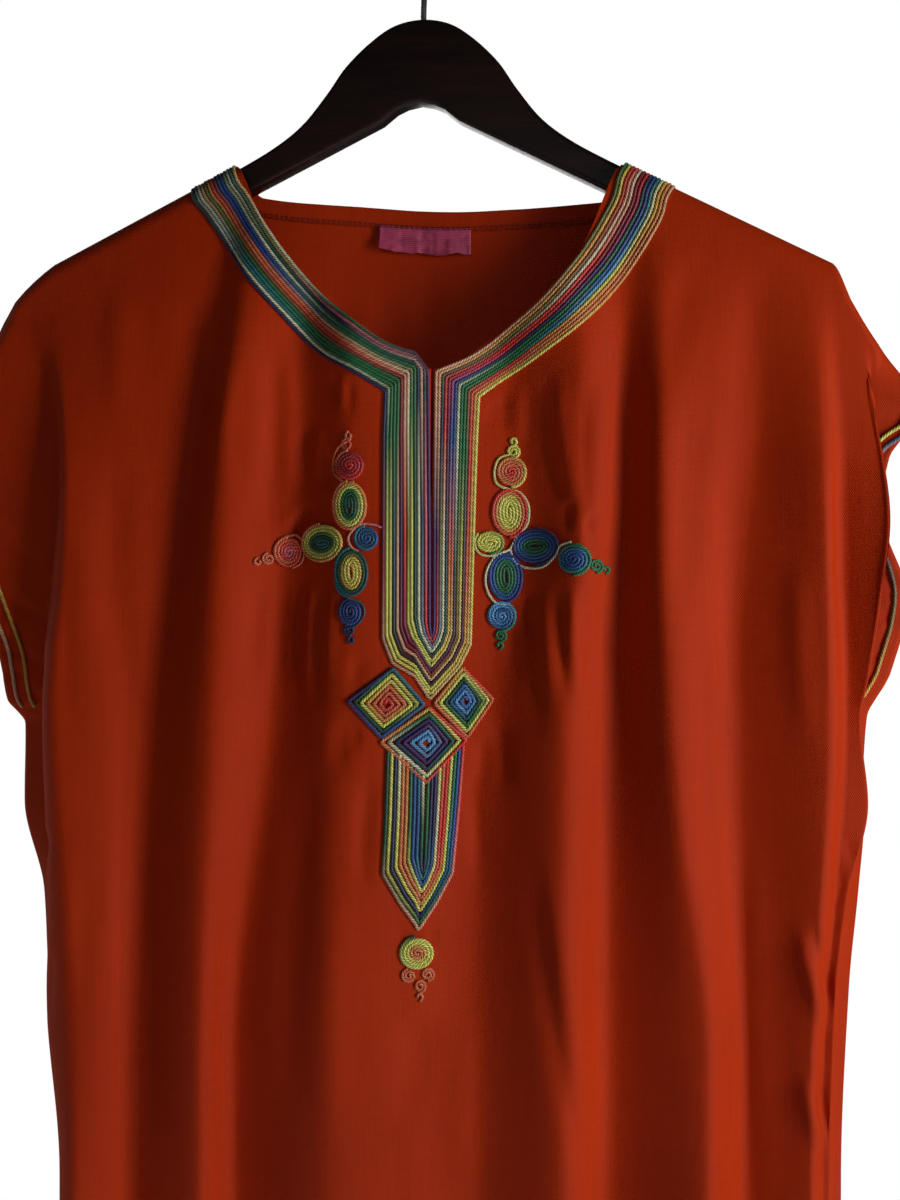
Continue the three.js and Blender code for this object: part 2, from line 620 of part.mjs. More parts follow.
const SPRAY_RIGHT = [
  [51.9, -301.4, 2.2, 2.2], [51.9, -306.9, 3.8, 3.8], [50.8, -318.3, 8.5, 8.5],
  [49.7, -340.8, 10.4, 13.7], [39.8, -357.2, 7.7, 6.3], [63.4, -359.5, 13.1, 9.6],
  [49.6, -358.4, 4.4, 4.4], [47.5, -375.3, 9.6, 13.2], [45.3, -396.7, 8.3, 8.2],
  [44.8, -407.6, 3.3, 3.3], [44.2, -413.1, 2.2, 2.2], [84.0, -367, 8.8, 8.4],
  [95.5, -370.5, 3.8, 3.8], [100.9, -372.2, 2.2, 2.2],
];
const MEDALLION = [
  [-1.1, -584.5, 9, 8.8], [-4.4, -596.6, 4, 4], [3.5, -596.2, 3.4, 3.4], [0.3, -602.2, 3.4, 3.4],
  [0, -607.8, 2.4, 2.4],
];

function lozenge({ name, corners, centre, material }) {
  const outline = corners.flatMap(([x, z], i) => {
    const [nextX, nextZ] = corners[(i + 1) % corners.length];
    return [[x - centre[0], z - centre[1]],
      [(x + nextX) / 2 - centre[0], (z + nextZ) / 2 - centre[1]]];
  });
  return mound(`lozenge_${name}`, centre, outline, LOZENGE_ROUNDS, 3, LIFT, material);
}

// ---------------------------------------------------------------- cords along the sleeve hems
const SLEEVE_CORD_COLUMNS = ['name', 'inset', 'material'];
const SLEEVE_CORDS = [
  ['outer', 7.5, CORD_BLUE],
  ['inner', 16, CORD_YELLOW],
];
const SLEEVE_CORD_SIZE = 2;
const SLEEVE_STEPS = 10;
const SLEEVE_RANGE = [0.05, 0.9]; // share of the way from the sleeve's tip to the underarm
const SLEEVE_TIP = 0.2;         // share of the roll at which a sleeve's first row lies
const WALK_STEP = 0.02;         // columns a step
const NORMAL_SPAN = { columns: 0.05, rows: 0.01 };

// Walks in from the edge along one row of the panel until it has gone `inset` along the cloth.
function fromHem(p, side, t, inset) {
  const end = side === 'left' ? 0 : lastKey(p);
  const inward = side === 'left' ? 1 : -1;
  const place = (u, row) => p.point(u, mix(p.topOf(u)[1] - ROLL * SLEEVE_TIP, UNDERARM[side], row));
  let u = end;
  let walked = 0;
  while (walked < inset) {
    const next = u + inward * WALK_STEP;
    walked += place(u, t).distanceTo(place(next, t));
    u = next;
  }
  const { columns, rows: span } = NORMAL_SPAN;
  const alongU = place(u + columns, t).sub(place(u - columns, t));
  const down = place(u, t + span).sub(place(u, t - span));
  const normal = p.face < 0 ? down.clone().cross(alongU) : alongU.clone().cross(down);
  return { point: place(u, t), normal: normal.normalize(), down: down.normalize() };
}

function sleeveCord(p, side, { name, inset, material }) {
  const half = SLEEVE_CORD_SIZE / 2;
  const rings = Array.from({ length: SLEEVE_STEPS + 1 }, (_, i) => {
    const t = mix(SLEEVE_RANGE[0], SLEEVE_RANGE[1], i / SLEEVE_STEPS);
    const { point, normal, down } = fromHem(p, side, t, inset);
    const across = normal.clone().cross(down).normalize();
    const corner = (a, n) => point.clone().addScaledVector(across, a * half)
      .addScaledVector(normal, LIFT + (n + 1) * half);
    return [corner(-1, -1), corner(1, -1), corner(1, 1), corner(-1, 1)];
  });
  const square = [[-1, -1], [1, -1], [1, 1], [-1, 1]].map(([a, b]) => new THREE.Vector2(a, b));
  const where = p.face < 0 ? 'front' : 'back';
  return loft(`sleeve_cord_${side}_${where}_${name}`, rings, square, material);
}

// ---------------------------------------------------------------- inside the back neck
const HEM_FOLD = 0.8;           // thickness of the turned-in hem
const HEM_GAP = 0.8;            // from the back panel's facets
const HEM_DEPTH = 10;
const HEM_ENDS = { left: -90, right: 92 };
const LABEL = { left: -30, right: 25, top: 9, height: 16, thickness: 0.6 };

// A strip inside the back panel between two distances below the neckline.
function insideStrip(name, from, to, columns, depths, standoff, thickness, material) {
  const neckline = back.keys.slice(back.neckStart, back.neckEnd + 1).map((key) => key.top);
  const points = [];
  for (let j = 0; j <= columns; j += 1) {
    const x = mix(from, to, j / columns);
    const top = glide(neckline, x);
    for (const depth of depths) {
      points.push(offCloth(back, x, slack(x, top - depth), -(WALL + standoff + thickness)));
    }
  }
  const triangles = [];
  for (let j = 0; j < columns; j += 1) {
    for (let i = 0; i < depths.length - 1; i += 1) {
      const a = j * depths.length + i;
      const b = a + depths.length;
      triangles.push([a, a + 1, b + 1], [a, b + 1, b]);
    }
  }
  return orient(wall(name, points, triangles, material, thickness, () => false));
}

// ---------------------------------------------------------------- hanger
const HANGER = {
  thickness: 12, bevel: 2.4, clear: 2.7, armStart: 110, armEnd: 199, tip: 212, tipDrop: 201,
  apex: -106, underSlope: 0.495, tipRound: 4, tipRise: 0.8, archFoot: 22, archTop: [8, -1.4],
};
const HUMP = [[0, -59], [16, -62], [30, -71], [44, -84.5], [55, -100], [69, -117], [86, -130]];
const HOOK = { innerRadius: 17, wire: 1.7, neck: -44, foot: -58.7, sides: 8 };

function hangerWood() {
  const armZ = (x) => SHOULDER_PEAK - HANGER.clear - x * Math.tan(SHOULDER_ANGLE);
  const underZ = (x) => HANGER.apex - HANGER.underSlope * x;
  const half = [...HUMP, [HANGER.armStart, armZ(HANGER.armStart)], [HANGER.armEnd, armZ(HANGER.armEnd)],
    [HANGER.tip - HANGER.tipRound, armZ(HANGER.tip) + HANGER.tipRise], [HANGER.tip, -HANGER.tipDrop],
    [HANGER.tip - HANGER.tipRound, underZ(HANGER.tip) + HANGER.tipRound],
    [HANGER.armEnd, underZ(HANGER.armEnd)], [HANGER.archFoot, underZ(HANGER.archFoot)],
    [HANGER.archTop[0], HANGER.apex + HANGER.archTop[1]]];
  const mirrored = half.slice(1).reverse().map(([x, z]) => [-x, z]);
  const outline = [...half, [0, HANGER.apex], ...mirrored].map(([x, z]) => new THREE.Vector2(x, z));
  const geometry = new THREE.ExtrudeGeometry(new THREE.Shape(outline), {
    depth: HANGER.thickness - 2 * HANGER.bevel,
    bevelEnabled: true,
    bevelThickness: HANGER.bevel,
    bevelSize: HANGER.bevel,
    bevelOffset: -HANGER.bevel,
    bevelSegments: 1,
  });
  geometry.translate(0, 0, -(HANGER.thickness - 2 * HANGER.bevel) / 2);
  geometry.rotateX(Math.PI / 2);
  const mesh = new THREE.Mesh(geometry, new THREE.MeshStandardMaterial(DARK_WOOD));
  mesh.name = 'hanger_wood';
  return mesh;
}

function hangerHook() {
  const radius = HOOK.innerRadius + HOOK.wire;
  const onCircle = (degrees) => {
    const angle = (degrees * Math.PI) / 180;
    return new THREE.Vector3(radius * Math.cos(angle), 0, radius * Math.sin(angle) - HOOK.innerRadius);
  };
  const stem = [[0, HOOK.foot], [0, HOOK.neck - 6], [0.6, HOOK.neck], [5, HOOK.neck + 7]]
    .map(([x, z]) => new THREE.Vector3(x, 0, z));
  const turn = [-45, -15, 15, 45, 75, 105, 135, 165, 195, 212].map(onCircle);
  const path = new THREE.CatmullRomCurve3([...stem, ...turn]);
  const steps = 30;
  const aside = new THREE.Vector3(0, 1, 0);
  const section = oval(HOOK.wire, HOOK.wire, HOOK.sides);
  const rings = Array.from({ length: steps + 1 }, (_, i) => {
    const centre = path.getPointAt(i / steps);
    const out = path.getTangentAt(i / steps).cross(aside).normalize();
    return section.map(([a, b]) => centre.clone().addScaledVector(out, a).addScaledVector(aside, b));
  });
  return loft('hanger_hook', rings, section.map(([a, b]) => new THREE.Vector2(a, b)), STEEL);
}

// ---------------------------------------------------------------- the whole
const kaftan = new THREE.Group();
kaftan.add(panelMesh('front_panel', front, CLOTH, slitWidth));
kaftan.add(panelMesh('back_panel', back, CLOTH_BACK, null));
kaftan.add(nest('neck_cords', NECK_STATIONS, NECK_CORDS, FOLD_LIFT, CORD_GREEN));
kaftan.add(nest('tongue_cords', TONGUE_STATIONS, TONGUE_CORDS, LIFT, CORD_BLUE));
for (const row of rows(LOZENGE_COLUMNS, LOZENGES)) kaftan.add(lozenge(row));
kaftan.add(coils('spray_left', SPRAY_LEFT, FOLD_LIFT, CORD_CORAL));
kaftan.add(coils('spray_right', SPRAY_RIGHT, FOLD_LIFT, CORD_YELLOW));
kaftan.add(coils('medallion', MEDALLION, LIFT, CORD_YELLOW));
for (const p of [front, back]) {
  for (const side of ['left', 'right']) {
    for (const cord of rows(SLEEVE_CORD_COLUMNS, SLEEVE_CORDS)) kaftan.add(sleeveCord(p, side, cord));
  }
}
kaftan.add(insideStrip('back_neck_hem', HEM_ENDS.left, HEM_ENDS.right, 14, [0.6, HEM_DEPTH / 2, HEM_DEPTH],
  HEM_GAP, HEM_FOLD, CLOTH_BACK));
kaftan.add(insideStrip('label', LABEL.left, LABEL.right, 8,
  [LABEL.top, LABEL.top + LABEL.height / 2, LABEL.top + LABEL.height],
  HEM_GAP + HEM_FOLD + SEAM_GAP, LABEL.thickness, MAGENTA));

const hanger = new THREE.Group();
hanger.rotation.y = TILT;
hanger.add(hangerWood(), hangerHook());
kaftan.add(hanger);

export default kaftan;
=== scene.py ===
"""Moroccan kaftan on a wooden hanger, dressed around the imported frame.

Shapes are worked out in millimetres in the frame's axes (X to the viewer's right, Y back, Z up, origin
at the inside top of the hook) and turned into metres when a mesh is made.
"""
import math

import bmesh
import bpy
import numpy as np
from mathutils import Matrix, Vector


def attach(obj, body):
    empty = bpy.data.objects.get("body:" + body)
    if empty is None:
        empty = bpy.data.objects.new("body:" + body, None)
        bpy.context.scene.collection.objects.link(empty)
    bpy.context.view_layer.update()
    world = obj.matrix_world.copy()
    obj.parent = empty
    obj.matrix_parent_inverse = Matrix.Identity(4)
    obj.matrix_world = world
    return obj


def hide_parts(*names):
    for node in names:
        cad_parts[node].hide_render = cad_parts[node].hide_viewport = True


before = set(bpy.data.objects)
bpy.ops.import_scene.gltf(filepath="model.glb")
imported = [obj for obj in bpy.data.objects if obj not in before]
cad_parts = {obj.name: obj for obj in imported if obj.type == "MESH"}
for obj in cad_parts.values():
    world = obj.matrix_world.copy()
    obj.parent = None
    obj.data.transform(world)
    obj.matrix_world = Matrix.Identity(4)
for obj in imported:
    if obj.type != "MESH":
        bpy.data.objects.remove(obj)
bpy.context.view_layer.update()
MM = 0.001

# ---------------------------------------------------------------- driving sizes, as in the frame
WALL = 1.0
SEAM_GAP = 0.3
TILT = math.radians(1.3)
SHOULDER_PEAK = -85.6
SHOULDER_ANGLE = math.atan(0.5)
ROLL = 13.0
HEM_Z = -1500.0
SLIT_TOP, SLIT_DEPTH = -261.5, 72.0
LEVELS = (-330, -455, -650, HEM_Z)
UNDERARM = {"left": -463.0, "right": -453.0}

# Fold rows: top x, top z (None on the shoulder line), then x and y at chest, underarm, low and hem. The
# front's x values down to the low level were measured on the photograph; its depths and the hem are judged.
FRONT_FOLDS = [
    (-222, None, -205, -27, -210, -28, -198, -30, -199, -38),
    (-186, None, -178, -22, -182, -22, -180, -22, -182, -27),
    (-148, None, -156, -17, -170, -17, -176, -17, -177, -19),
    (-112, None, -138, -14, -157, -14, -167, -14, -167, -15),
    (-93.7, -168, -111, -30, -118, -31, -125, -31, -124, -42),
    (-64, -209, -73, -16, -84, -15, -107, -15, -105, -17),
    (-33, -234.5, -35, -29, -40, -30, -48, -32, -50, -42),
    (8, -261.5, 7, -25, 2, -24, -8, -24, -8, -31),
    (41, -243.6, 57, -17, 41, -16, 29, -15, 28, -16),
    (86, -202, 92, -30, 81, -31, 80, -32, 78, -42),
    (114, None, 113, -15, 108, -14, 105, -14, 105, -15),
    (138, None, 134, -30, 138, -32, 156, -34, 154, -44),
    (166, None, 158, -22, 158, -22, 169, -22, 168, -27),
    (194, None, 180, -14, 174, -14, 179, -14, 180, -15),
    (214, None, 218, -27, 220, -27, 211, -26, 210, -34),
    (225, None, 229, -17, 230, -17, 218, -18, 219, -21),
]
BACK_FOLDS = [
    (-215, None, -205, 24, -205, 24, -195, 26, -196, 38),
    (-165, None, -160, 16, -160, 15, -155, 15, -156, 18),
    (-112, None, -115, 24, -112, 26, -112, 30, -110, 42),
    (-99, -152.2, -68, 17, -66, 16, -66, 15, -66, 18),
    (-44, -158.9, -24, 22, -22, 25, -20, 29, -20, 40),
    (30, -165.2, 22, 17, 23, 16, 24, 15, 24, 18),
    (101, -163.2, 66, 22, 66, 25, 67, 30, 66, 42),
    (114, None, 112, 16, 110, 15, 110, 15, 110, 18),
    (160, None, 156, 24, 156, 25, 154, 30, 154, 40),
    (214, None, 208, 16, 204, 15, 200, 15, 200, 19),
]
# Side rows: height, then x and y of the fold that shows, the return behind it and the edge.
FRONT_LEFT = [
    (-285, -220, -13, -255, -13, -281, -4),
    (-330, -219, -12, -238, -11, -278, -8),
    (-380, -221, -13, -229, -9, -272, -8),
    (-425, -221, -20, -219, -10, -256, -6),
    (-448, -222, -21, -217, -9, -253, -3),
    (-463, -222, -21, -216, -9, -243, 0),
    (-509, -221, -20, -217, -9, -244, 1),
    (-562, -220, -19, -222, -9, -232, 2),
    (-620, -219, -19, -225, -10, -229, 2),
    (-723, -212, -20, -216, -10, -218, 2),
    (HEM_Z, -220, -24, -226, -11, -229, 2),
]
FRONT_RIGHT = [
    (-285, 245, -20, 238, -8, 278, -2),
    (-300, 247, -21, 236, -7, 264, -3),
    (-311, 249, -22, 234, -6, 250, -3),
    (-345, 252, -24, 231, -6, 251, -3),
    (-389, 247, -23, 233, -6, 264, -4),
    (-429, 241, -21, 229, -6, 255, -3),
    (-453, 237, -18, 233, -6, 243, -2),
    (-498, 241, -17, 237, -7, 240, -3),
    (-547, 230, -18, 233, -12, 235, -8),
    (-600, 224, -19, 226, -15, 228, -11),
    (-700, 221, -18, 223, -15, 225, -12),
    (HEM_Z, 225, -24, 229, -16, 232, -10),
]
BACK_LEFT = [
    (-285, -240, 18, -256, 16, -281, 8),
    (-330, -238, 18, -254, 17, -278, 13),
    (-380, -235, 18, -250, 16, -271, 12),
    (-425, -230, 17, -240, 13, -256, 7),
    (-448, -227, 17, -238, 11, -253, 3),
    (-463, -226, 17, -237, 9, -243, 0),
    (-509, -226, 17, -240, 9, -244, 1),
    (-562, -220, 17, -230, 10, -232, 2),
    (-620, -217, 17, -227, 10, -229, 2),
    (-723, -208, 17, -216, 10, -218, 2),
    (HEM_Z, -218, 20, -228, 11, -229, 2),
]
BACK_RIGHT = [
    (-285, 236, 18, 252, 16, 274, 8),
    (-311, 234, 18, 246, 16, 257, 10),
    (-345, 230, 19, 243, 17, 252, 12),
    (-389, 231, 19, 244, 16, 260, 11),
    (-429, 230, 18, 243, 13, 254, 7),
    (-453, 229, 17, 240, 8, 243, -2),
    (-498, 228, 17, 243, 6, 240, -3),
    (-547, 226, 16, 239, 3, 235, -8),
    (-600, 222, 16, 234, 2, 228, -11),
    (-700, 218, 16, 230, 1, 225, -12),
    (HEM_Z, 222, 20, 237, 2, 232, -10),
]
SHOULDER_FALL = {
    "left": {"edge": (-284, -280), "turn": (-268, -253.5), "fold": (-250, -215.5)},
    "right": {"edge": (279, -289), "turn": (252, -255), "fold": (236, -229)},
}
SIDE_KEYS = 3
CENTRE = 10  # the front's middle column, at the point of the V


# ---------------------------------------------------------------- the panels' form
def mix(a, b, t):
    return a + (b - a) * t


def ease(t):
    s = np.clip(t, 0, 1)
    return s * s * (3 - 2 * s)


def glide(ts, values, t):
    """A smooth curve through knots that never swings past them; values may be one row a knot."""
    ts = np.asarray(ts, float)
    v = np.asarray(values, float)
    t = np.clip(np.asarray(t, float), ts[0], ts[-1])
    flat = v.ndim == 1
    if flat:
        v = v[:, None]
    rise = np.diff(v, axis=0) / np.diff(ts)[:, None]
    slope = np.empty_like(v)
    slope[0], slope[-1] = rise[0], rise[-1]
    before, after = rise[:-1], rise[1:]
    total = np.where(before * after > 0, before + after, 1)
    slope[1:-1] = np.where(before * after > 0, 2 * before * after / total, 0)
    i = np.clip(np.searchsorted(ts, t, side="right") - 1, 0, len(ts) - 2)
    span = ts[i + 1] - ts[i]
    s = (t - ts[i]) / span
    column = 0 if flat else np.arange(len(t))
    a, b = v[i, column], v[i + 1, column]
    sa, sb = slope[i, column], slope[i + 1, column]
    return ((2 * s**3 - 3 * s**2 + 1) * a + (s**3 - 2 * s**2 + s) * span * sa
            + (3 * s**2 - 2 * s**3) * b + (s**3 - s**2) * span * sb)


def shoulder_z(x):
    x = np.asarray(x, float)
    peak_x, peak_z = SHOULDER_PEAK * math.sin(TILT), SHOULDER_PEAK * math.cos(TILT)
    slope = np.where(x < peak_x, math.tan(SHOULDER_ANGLE - TILT), math.tan(SHOULDER_ANGLE + TILT))
    return peak_z - np.abs(x - peak_x) * slope


def roll_share(drop):
    return np.where(drop < ROLL, np.sqrt(np.clip(1 - (1 - drop / ROLL) ** 2, 0, 1)), 1.0)


class Panel:
    def __init__(self, face, left, folds, right):
        self.face = face

        def side(name, table):
            def key(part, column):
                knots = sorted((r[0], r[column], r[column + 1]) for r in table)
                return SHOULDER_FALL[name][part], True, knots
            return [key("fold", 1), key("turn", 3), key("edge", 5)]

        middle = []
        for r in folds:
            on_shoulder = r[1] is None
            top = (r[0], float(shoulder_z(r[0])) if on_shoulder else r[1])
            middle.append((top, on_shoulder, sorted(zip(LEVELS, r[2::2], r[3::2]))))
        self.keys = side("left", left)[::-1] + middle + side("right", right)
        self.last = len(self.keys) - 1
        off = [i for i, k in enumerate(self.keys) if not k[1]]
        self.neck = (off[0] - 1, off[-1] + 1)
        self.places = np.arange(len(self.keys))
        self.top_x = [k[0][0] for k in self.keys]
        self.top_z = [k[0][1] for k in self.keys]

    def past(self, u):
        return np.clip(np.maximum(SIDE_KEYS - u, u - (self.last - SIDE_KEYS)), 0, 1)

    def on_shoulder(self, u):
        return (u <= self.neck[0]) | (u >= self.neck[1])

    def top(self, u):
        x = glide(self.places, self.top_x, u)
        line = self.on_shoulder(u) & (self.past(u) == 0)
        return x, np.where(line, shoulder_z(x), glide(self.places, self.top_z, u))

    def raw_x(self, u, z):
        values = [glide([h for h, _, _ in k[2]] + [k[0][1]], [x for _, x, _ in k[2]] + [k[0][0]],
                        np.minimum(z, k[0][1])) for k in self.keys]
        return glide(self.places, np.array(values), u)

    def raw_y(self, u, z):
        values = [glide([h for h, _, _ in k[2]], [y for _, _, y in k[2]], z) for k in self.keys]
        return glide(self.places, np.array(values), u)

    def x(self, u, z):
        top_x, top_z = self.top(u)
        miss = top_x - self.raw_x(u, top_z)
        return self.raw_x(u, z) + miss * (1 - ease((top_z - z) / 70))

    def point(self, u, z):
        px = self.x(u, z)
        top_x, top_z = self.top(u)
        on = self.on_shoulder(u)
        crest = np.where(on, top_z + (shoulder_z(px) - shoulder_z(top_x)) * (1 - self.past(u)), shoulder_z(px))
        drop = np.maximum(0, crest - z)
        settled = ease(drop / 150)
        folded = self.raw_y(u, z)
        depth = mix(ROLL, np.abs(folded), settled)
        y = np.where(settled < 1, mix(self.face * np.minimum(depth, ROLL), folded, settled), folded)
        return np.stack([px, y * roll_share(drop), z], axis=1)


FRONT = Panel(-1, FRONT_LEFT, FRONT_FOLDS, FRONT_RIGHT)
BACK = Panel(1, BACK_LEFT, BACK_FOLDS, BACK_RIGHT)

# ---------------------------------------------------------------- creases
# x and z of one end, x and z of the other, how far it bows sideways, half width, height off the cloth
# (below 0 a trough).
FRONT_CREASES = [
    # under the left neck band
    (-84, -238, -89, -362, -3, 5.5, -1.7), (-77, -240, -80, -350, -2, 7, 1.2),
    (-49, -260, -45, -282, 1, 3.2, -1.1), (-37, -265, -38, -290, 1, 3.0, -1.2), (-43, -262, -41, -288, 0, 3, 0.8),
    (-65, -286, -63, -334, 3, 5, -1.5), (-53, -303, -55, -330, -3, 4.5, -1.8), (-58, -288, -57, -322, 0, 4, 0.9),
    (-60, -334, -78, -356, 1, 3.4, -2.1), (-71, -336, -80, -352, 1, 3.2, 1.0), (-97, -250, -104, -330, 2, 7, -1.1),
    # under the left spray
    (-67, -372, -70, -452, 1, 4, -1.5), (-61, -373, -64, -448, 1, 4, 1.4), (-54, -374, -58, -455, 1, 4, -1.7),
    (-79, -372, -82, -450, 1, 4.5, -1.3), (-91, -374, -98, -440, 0, 5, -1.2), (-48, -380, -50, -440, 1, 4, 1.1),
    (-30, -418, -36, -440, 1, 4, -1.0),
    # round the lozenges and the point of the tongue
    (-38, -450, -44, -490, 2, 5, -1.5), (-35, -456, -34, -474, 0, 3, -1.2), (43, -450, 47, -500, -2, 5, -1.5),
    (36, -462, 33, -500, 0, 5, -1.0), (-14, -573, -5, -576, 0, 1.6, -0.8), (4, -573, 12, -578, 0, 1.6, -0.8),
    (-26, -480, -30, -560, 2, 5, -1.3), (28, -478, 32, -560, -2, 5, -1.2), (0, -612, -4, -690, 1, 9, -1.2),
    # under the right neck band
    (47, -272, 46, -300, 0, 3, -1.0), (41, -276, 40, -296, 0, 3, -0.8), (56, -268, 55, -310, 0, 4, 0.9),
    (70, -262, 82, -352, 3, 4.2, -2.0), (77, -262, 88, -340, 3, 4.5, 1.3), (93, -262, 96, -370, 2, 4.5, -1.6),
    (61, -268, 64, -306, 1, 3.6, -1.0), (104, -262, 103, -330, 1, 5, 1.0), (84, -334, 83, -354, 1, 2.6, -1.9),
    (95, -340, 98, -370, 1, 2.4, -1.8), (101, -348, 102, -370, 0, 2, -0.9),
    # under the right spray
    (59, -382, 62, -412, 1, 3, -1.5), (78, -376, 84, -452, 2, 4, -2.0), (71, -380, 74, -452, 1, 4, 1.2),
    (64, -388, 68, -470, 1, 4.5, -1.2), (91, -374, 95, -450, 1, 4.5, -1.4), (86, -378, 89, -452, 1, 3.6, 1.1),
    (99, -374, 104, -440, 1, 5, -1.1), (52, -398, 55, -440, 1, 3.6, -0.9),
    # the long diagonal right of the middle, and slow waves in the skirt
    (62, -520, 95, -720, 2, 6, -1.7), (70, -516, 103, -715, 2, 9, 1.4), (84, -690, 98, -1000, 0, 12, -2.0),
    (-60, -470, -74, -700, 4, 9, -1.5), (-176, -300, -170, -470, 5, 9, -1.5), (-205, -330, -200, -500, 3, 7, -1.2),
    (-163, -500, -160, -730, -4, 8, -1.3), (-190, -520, -196, -720, 3, 8, -1.1), (-44, -520, -46, -740, 3, 10, 1.4),
    (26, -600, 22, -760, 2, 10, 1.2), (110, -330, 113, -500, 2, 7, -1.1), (146, -270, 140, -420, -3, 8, -1.3),
    (168, -300, 172, -460, 3, 8, -1.2), (150, -470, 160, -700, 3, 8, -1.0), (183, -500, 190, -740, 2, 8, 1.1),
    (228, -300, 232, -440, 3, 5, -1.4), (205, -360, 211, -480, 2, 6, 1.2), (-140, -210, -120, -300, -4, 9, -1.4),
    (150, -200, 136, -290, 3, 10, -1.4), (186, -205, 178, -300, 2, 9, -1.0), (-178, -200, -172, -300, 2, 9, 1.2),
    # slanted streaks and puckers by the right side seam
    (204, -558, 222, -630, 1, 3.6, 1.7), (211, -556, 225, -614, 1, 3, -1.4), (206, -637, 219, -690, 1, 4, 1.6),
    (214, -640, 224, -684, 1, 3, -1.3), (223, -531, 231, -542, 0, 1.5, -1.0), (222, -540, 230, -548, 0, 1.4, -1.0),
    (221, -549, 229, -555, 0, 1.4, -0.9), (229, -518, 236, -526, 0, 1.5, -1.0), (221, -560, 228, -565, 0, 1.4, -0.7),
    (-216, -520, -224, -548, 1, 3, -1.3), (-214, -590, -220, -640, 1, 4, -1.2),
    # the lower skirt, out of the picture
    (-150, -800, -152, -1100, 5, 12, -1.7), (-40, -860, -46, -1180, -5, 13, -1.8), (30, -980, 36, -1400, 6, 12, 1.6),
    (140, -820, 144, -1120, -4, 12, -1.8), (-190, -1000, -196, -1420, 5, 11, -1.6), (80, -1150, 76, -1490, 4, 12, -1.6),
    (-90, -1080, -94, -1480, -4, 12, 1.6), (188, -1050, 184, -1460, 4, 11, -1.5), (-20, -1240, -16, -1490, 2, 10, -1.3),
]
BACK_CREASES = [
    (-140, -220, -132, -420, 5, 10, -1.7), (-92, -200, -96, -330, 3, 8, -1.4), (-40, -190, -44, -330, -3, 8, -1.2),
    (0, -188, 4, -300, 2, 7, 1.1), (44, -190, 50, -340, 3, 9, -1.3), (96, -200, 92, -360, -4, 9, -1.4),
    (140, -220, 134, -420, 3, 10, -1.5), (-180, -260, -184, -460, 4, 9, -1.4), (184, -260, 188, -450, -4, 9, -1.5),
    (-60, -380, -52, -700, 6, 12, -1.6), (20, -420, 12, -800, -6, 12, -1.6), (90, -400, 98, -720, 5, 11, 1.5),
    (-130, -520, -138, -900, 6, 12, -1.6), (150, -500, 140, -880, -6, 12, -1.7), (-10, -700, -4, -1100, 5, 13, 1.6),
    (-90, -800, -84, -1240, -6, 12, -1.7), (60, -820, 70, -1260, 6, 12, -1.7), (180, -760, 186, -1180, 4, 10, -1.5),
    (-180, -900, -186, -1340, 5, 11, -1.6), (-40, -1120, -46, -1480, 4, 12, -1.6), (110, -1100, 104, -1480, -5, 12, 1.6),
    (24, -1200, 28, -1490, 3, 11, -1.4), (-140, -1200, -132, -1490, 3, 11, -1.4), (150, -1240, 156, -1490, 3, 10, -1.4),
    (-228, -480, -220, -520, 1, 4, -1.3), (226, -490, 220, -540, 1, 4, -1.3), (-200, -330, -214, -420, 2, 6, -1.4),
    (200, -320, 214, -410, 2, 6, -1.4),
]


CREASE_STRENGTH = 1.3


def crease_height(table, x, z):
    total = np.zeros_like(x)
    for x0, z0, x1, z1, bow, half, height in table:
        dx, dz = x1 - x0, z1 - z0
        length = math.hypot(dx, dz)
        t = ((x - x0) * dx + (z - z0) * dz) / length**2
        aside = ((x - x0) * dz - (z - z0) * dx) / length - bow * np.sin(np.pi * np.clip(t, 0, 1))
        ends = ease(t / 0.3) * ease((1 - t) / 0.45)
        total += height * ends * np.exp(-((aside / half) ** 2))
    return total * CREASE_STRENGTH


# ---------------------------------------------------------------- mesh and material helpers
def new_object(name, points, faces, material, smooth=True):
    mesh = bpy.data.meshes.new(name)
    mesh.from_pydata((np.asarray(points) * MM).tolist(), [], faces if isinstance(faces, list) else faces.tolist())
    mesh.polygons.foreach_set("use_smooth", [smooth] * len(mesh.polygons))
    mesh.materials.append(material)
    mesh.update()
    obj = bpy.data.objects.new(name, mesh)
    bpy.context.scene.collection.objects.link(obj)
    return obj


def add_colours(obj, name, colours):
    layer = obj.data.attributes.new(name, "FLOAT_COLOR", "POINT")
    rgba = np.concatenate([np.asarray(colours, float), np.ones((len(colours), 1))], axis=1)
    layer.data.foreach_set("color", rgba.ravel())


def shell(name, points, faces, material, thickness, flat):
    """Gives a sheet of quads a wall towards the inside, with a rim along every free edge."""
    points = np.asarray(points, float)
    faces = np.asarray(faces)
    normals = vertex_normals(points, faces)
    normals[flat, 1] = 0
    normals /= np.linalg.norm(normals, axis=1)[:, None]
    inner = points - normals * thickness
    count = len(points)
    edges = np.concatenate([faces[:, [i, (i + 1) % 4]] for i in range(4)])
    seen = set(map(tuple, edges.tolist()))
    rim = [(b, a, a + count, b + count) for a, b in edges.tolist() if (b, a) not in seen]
    everything = faces.tolist() + (faces[:, ::-1] + count).tolist() + rim
    return new_object(name, np.concatenate([points, inner]), everything, material)


def vertex_normals(points, faces):
    normals = np.zeros_like(points)
    across = np.cross(points[faces[:, 2]] - points[faces[:, 0]], points[faces[:, 3]] - points[faces[:, 1]])
    for i in range(4):
        np.add.at(normals, faces[:, i], across)
    return normals / np.linalg.norm(normals, axis=1)[:, None]


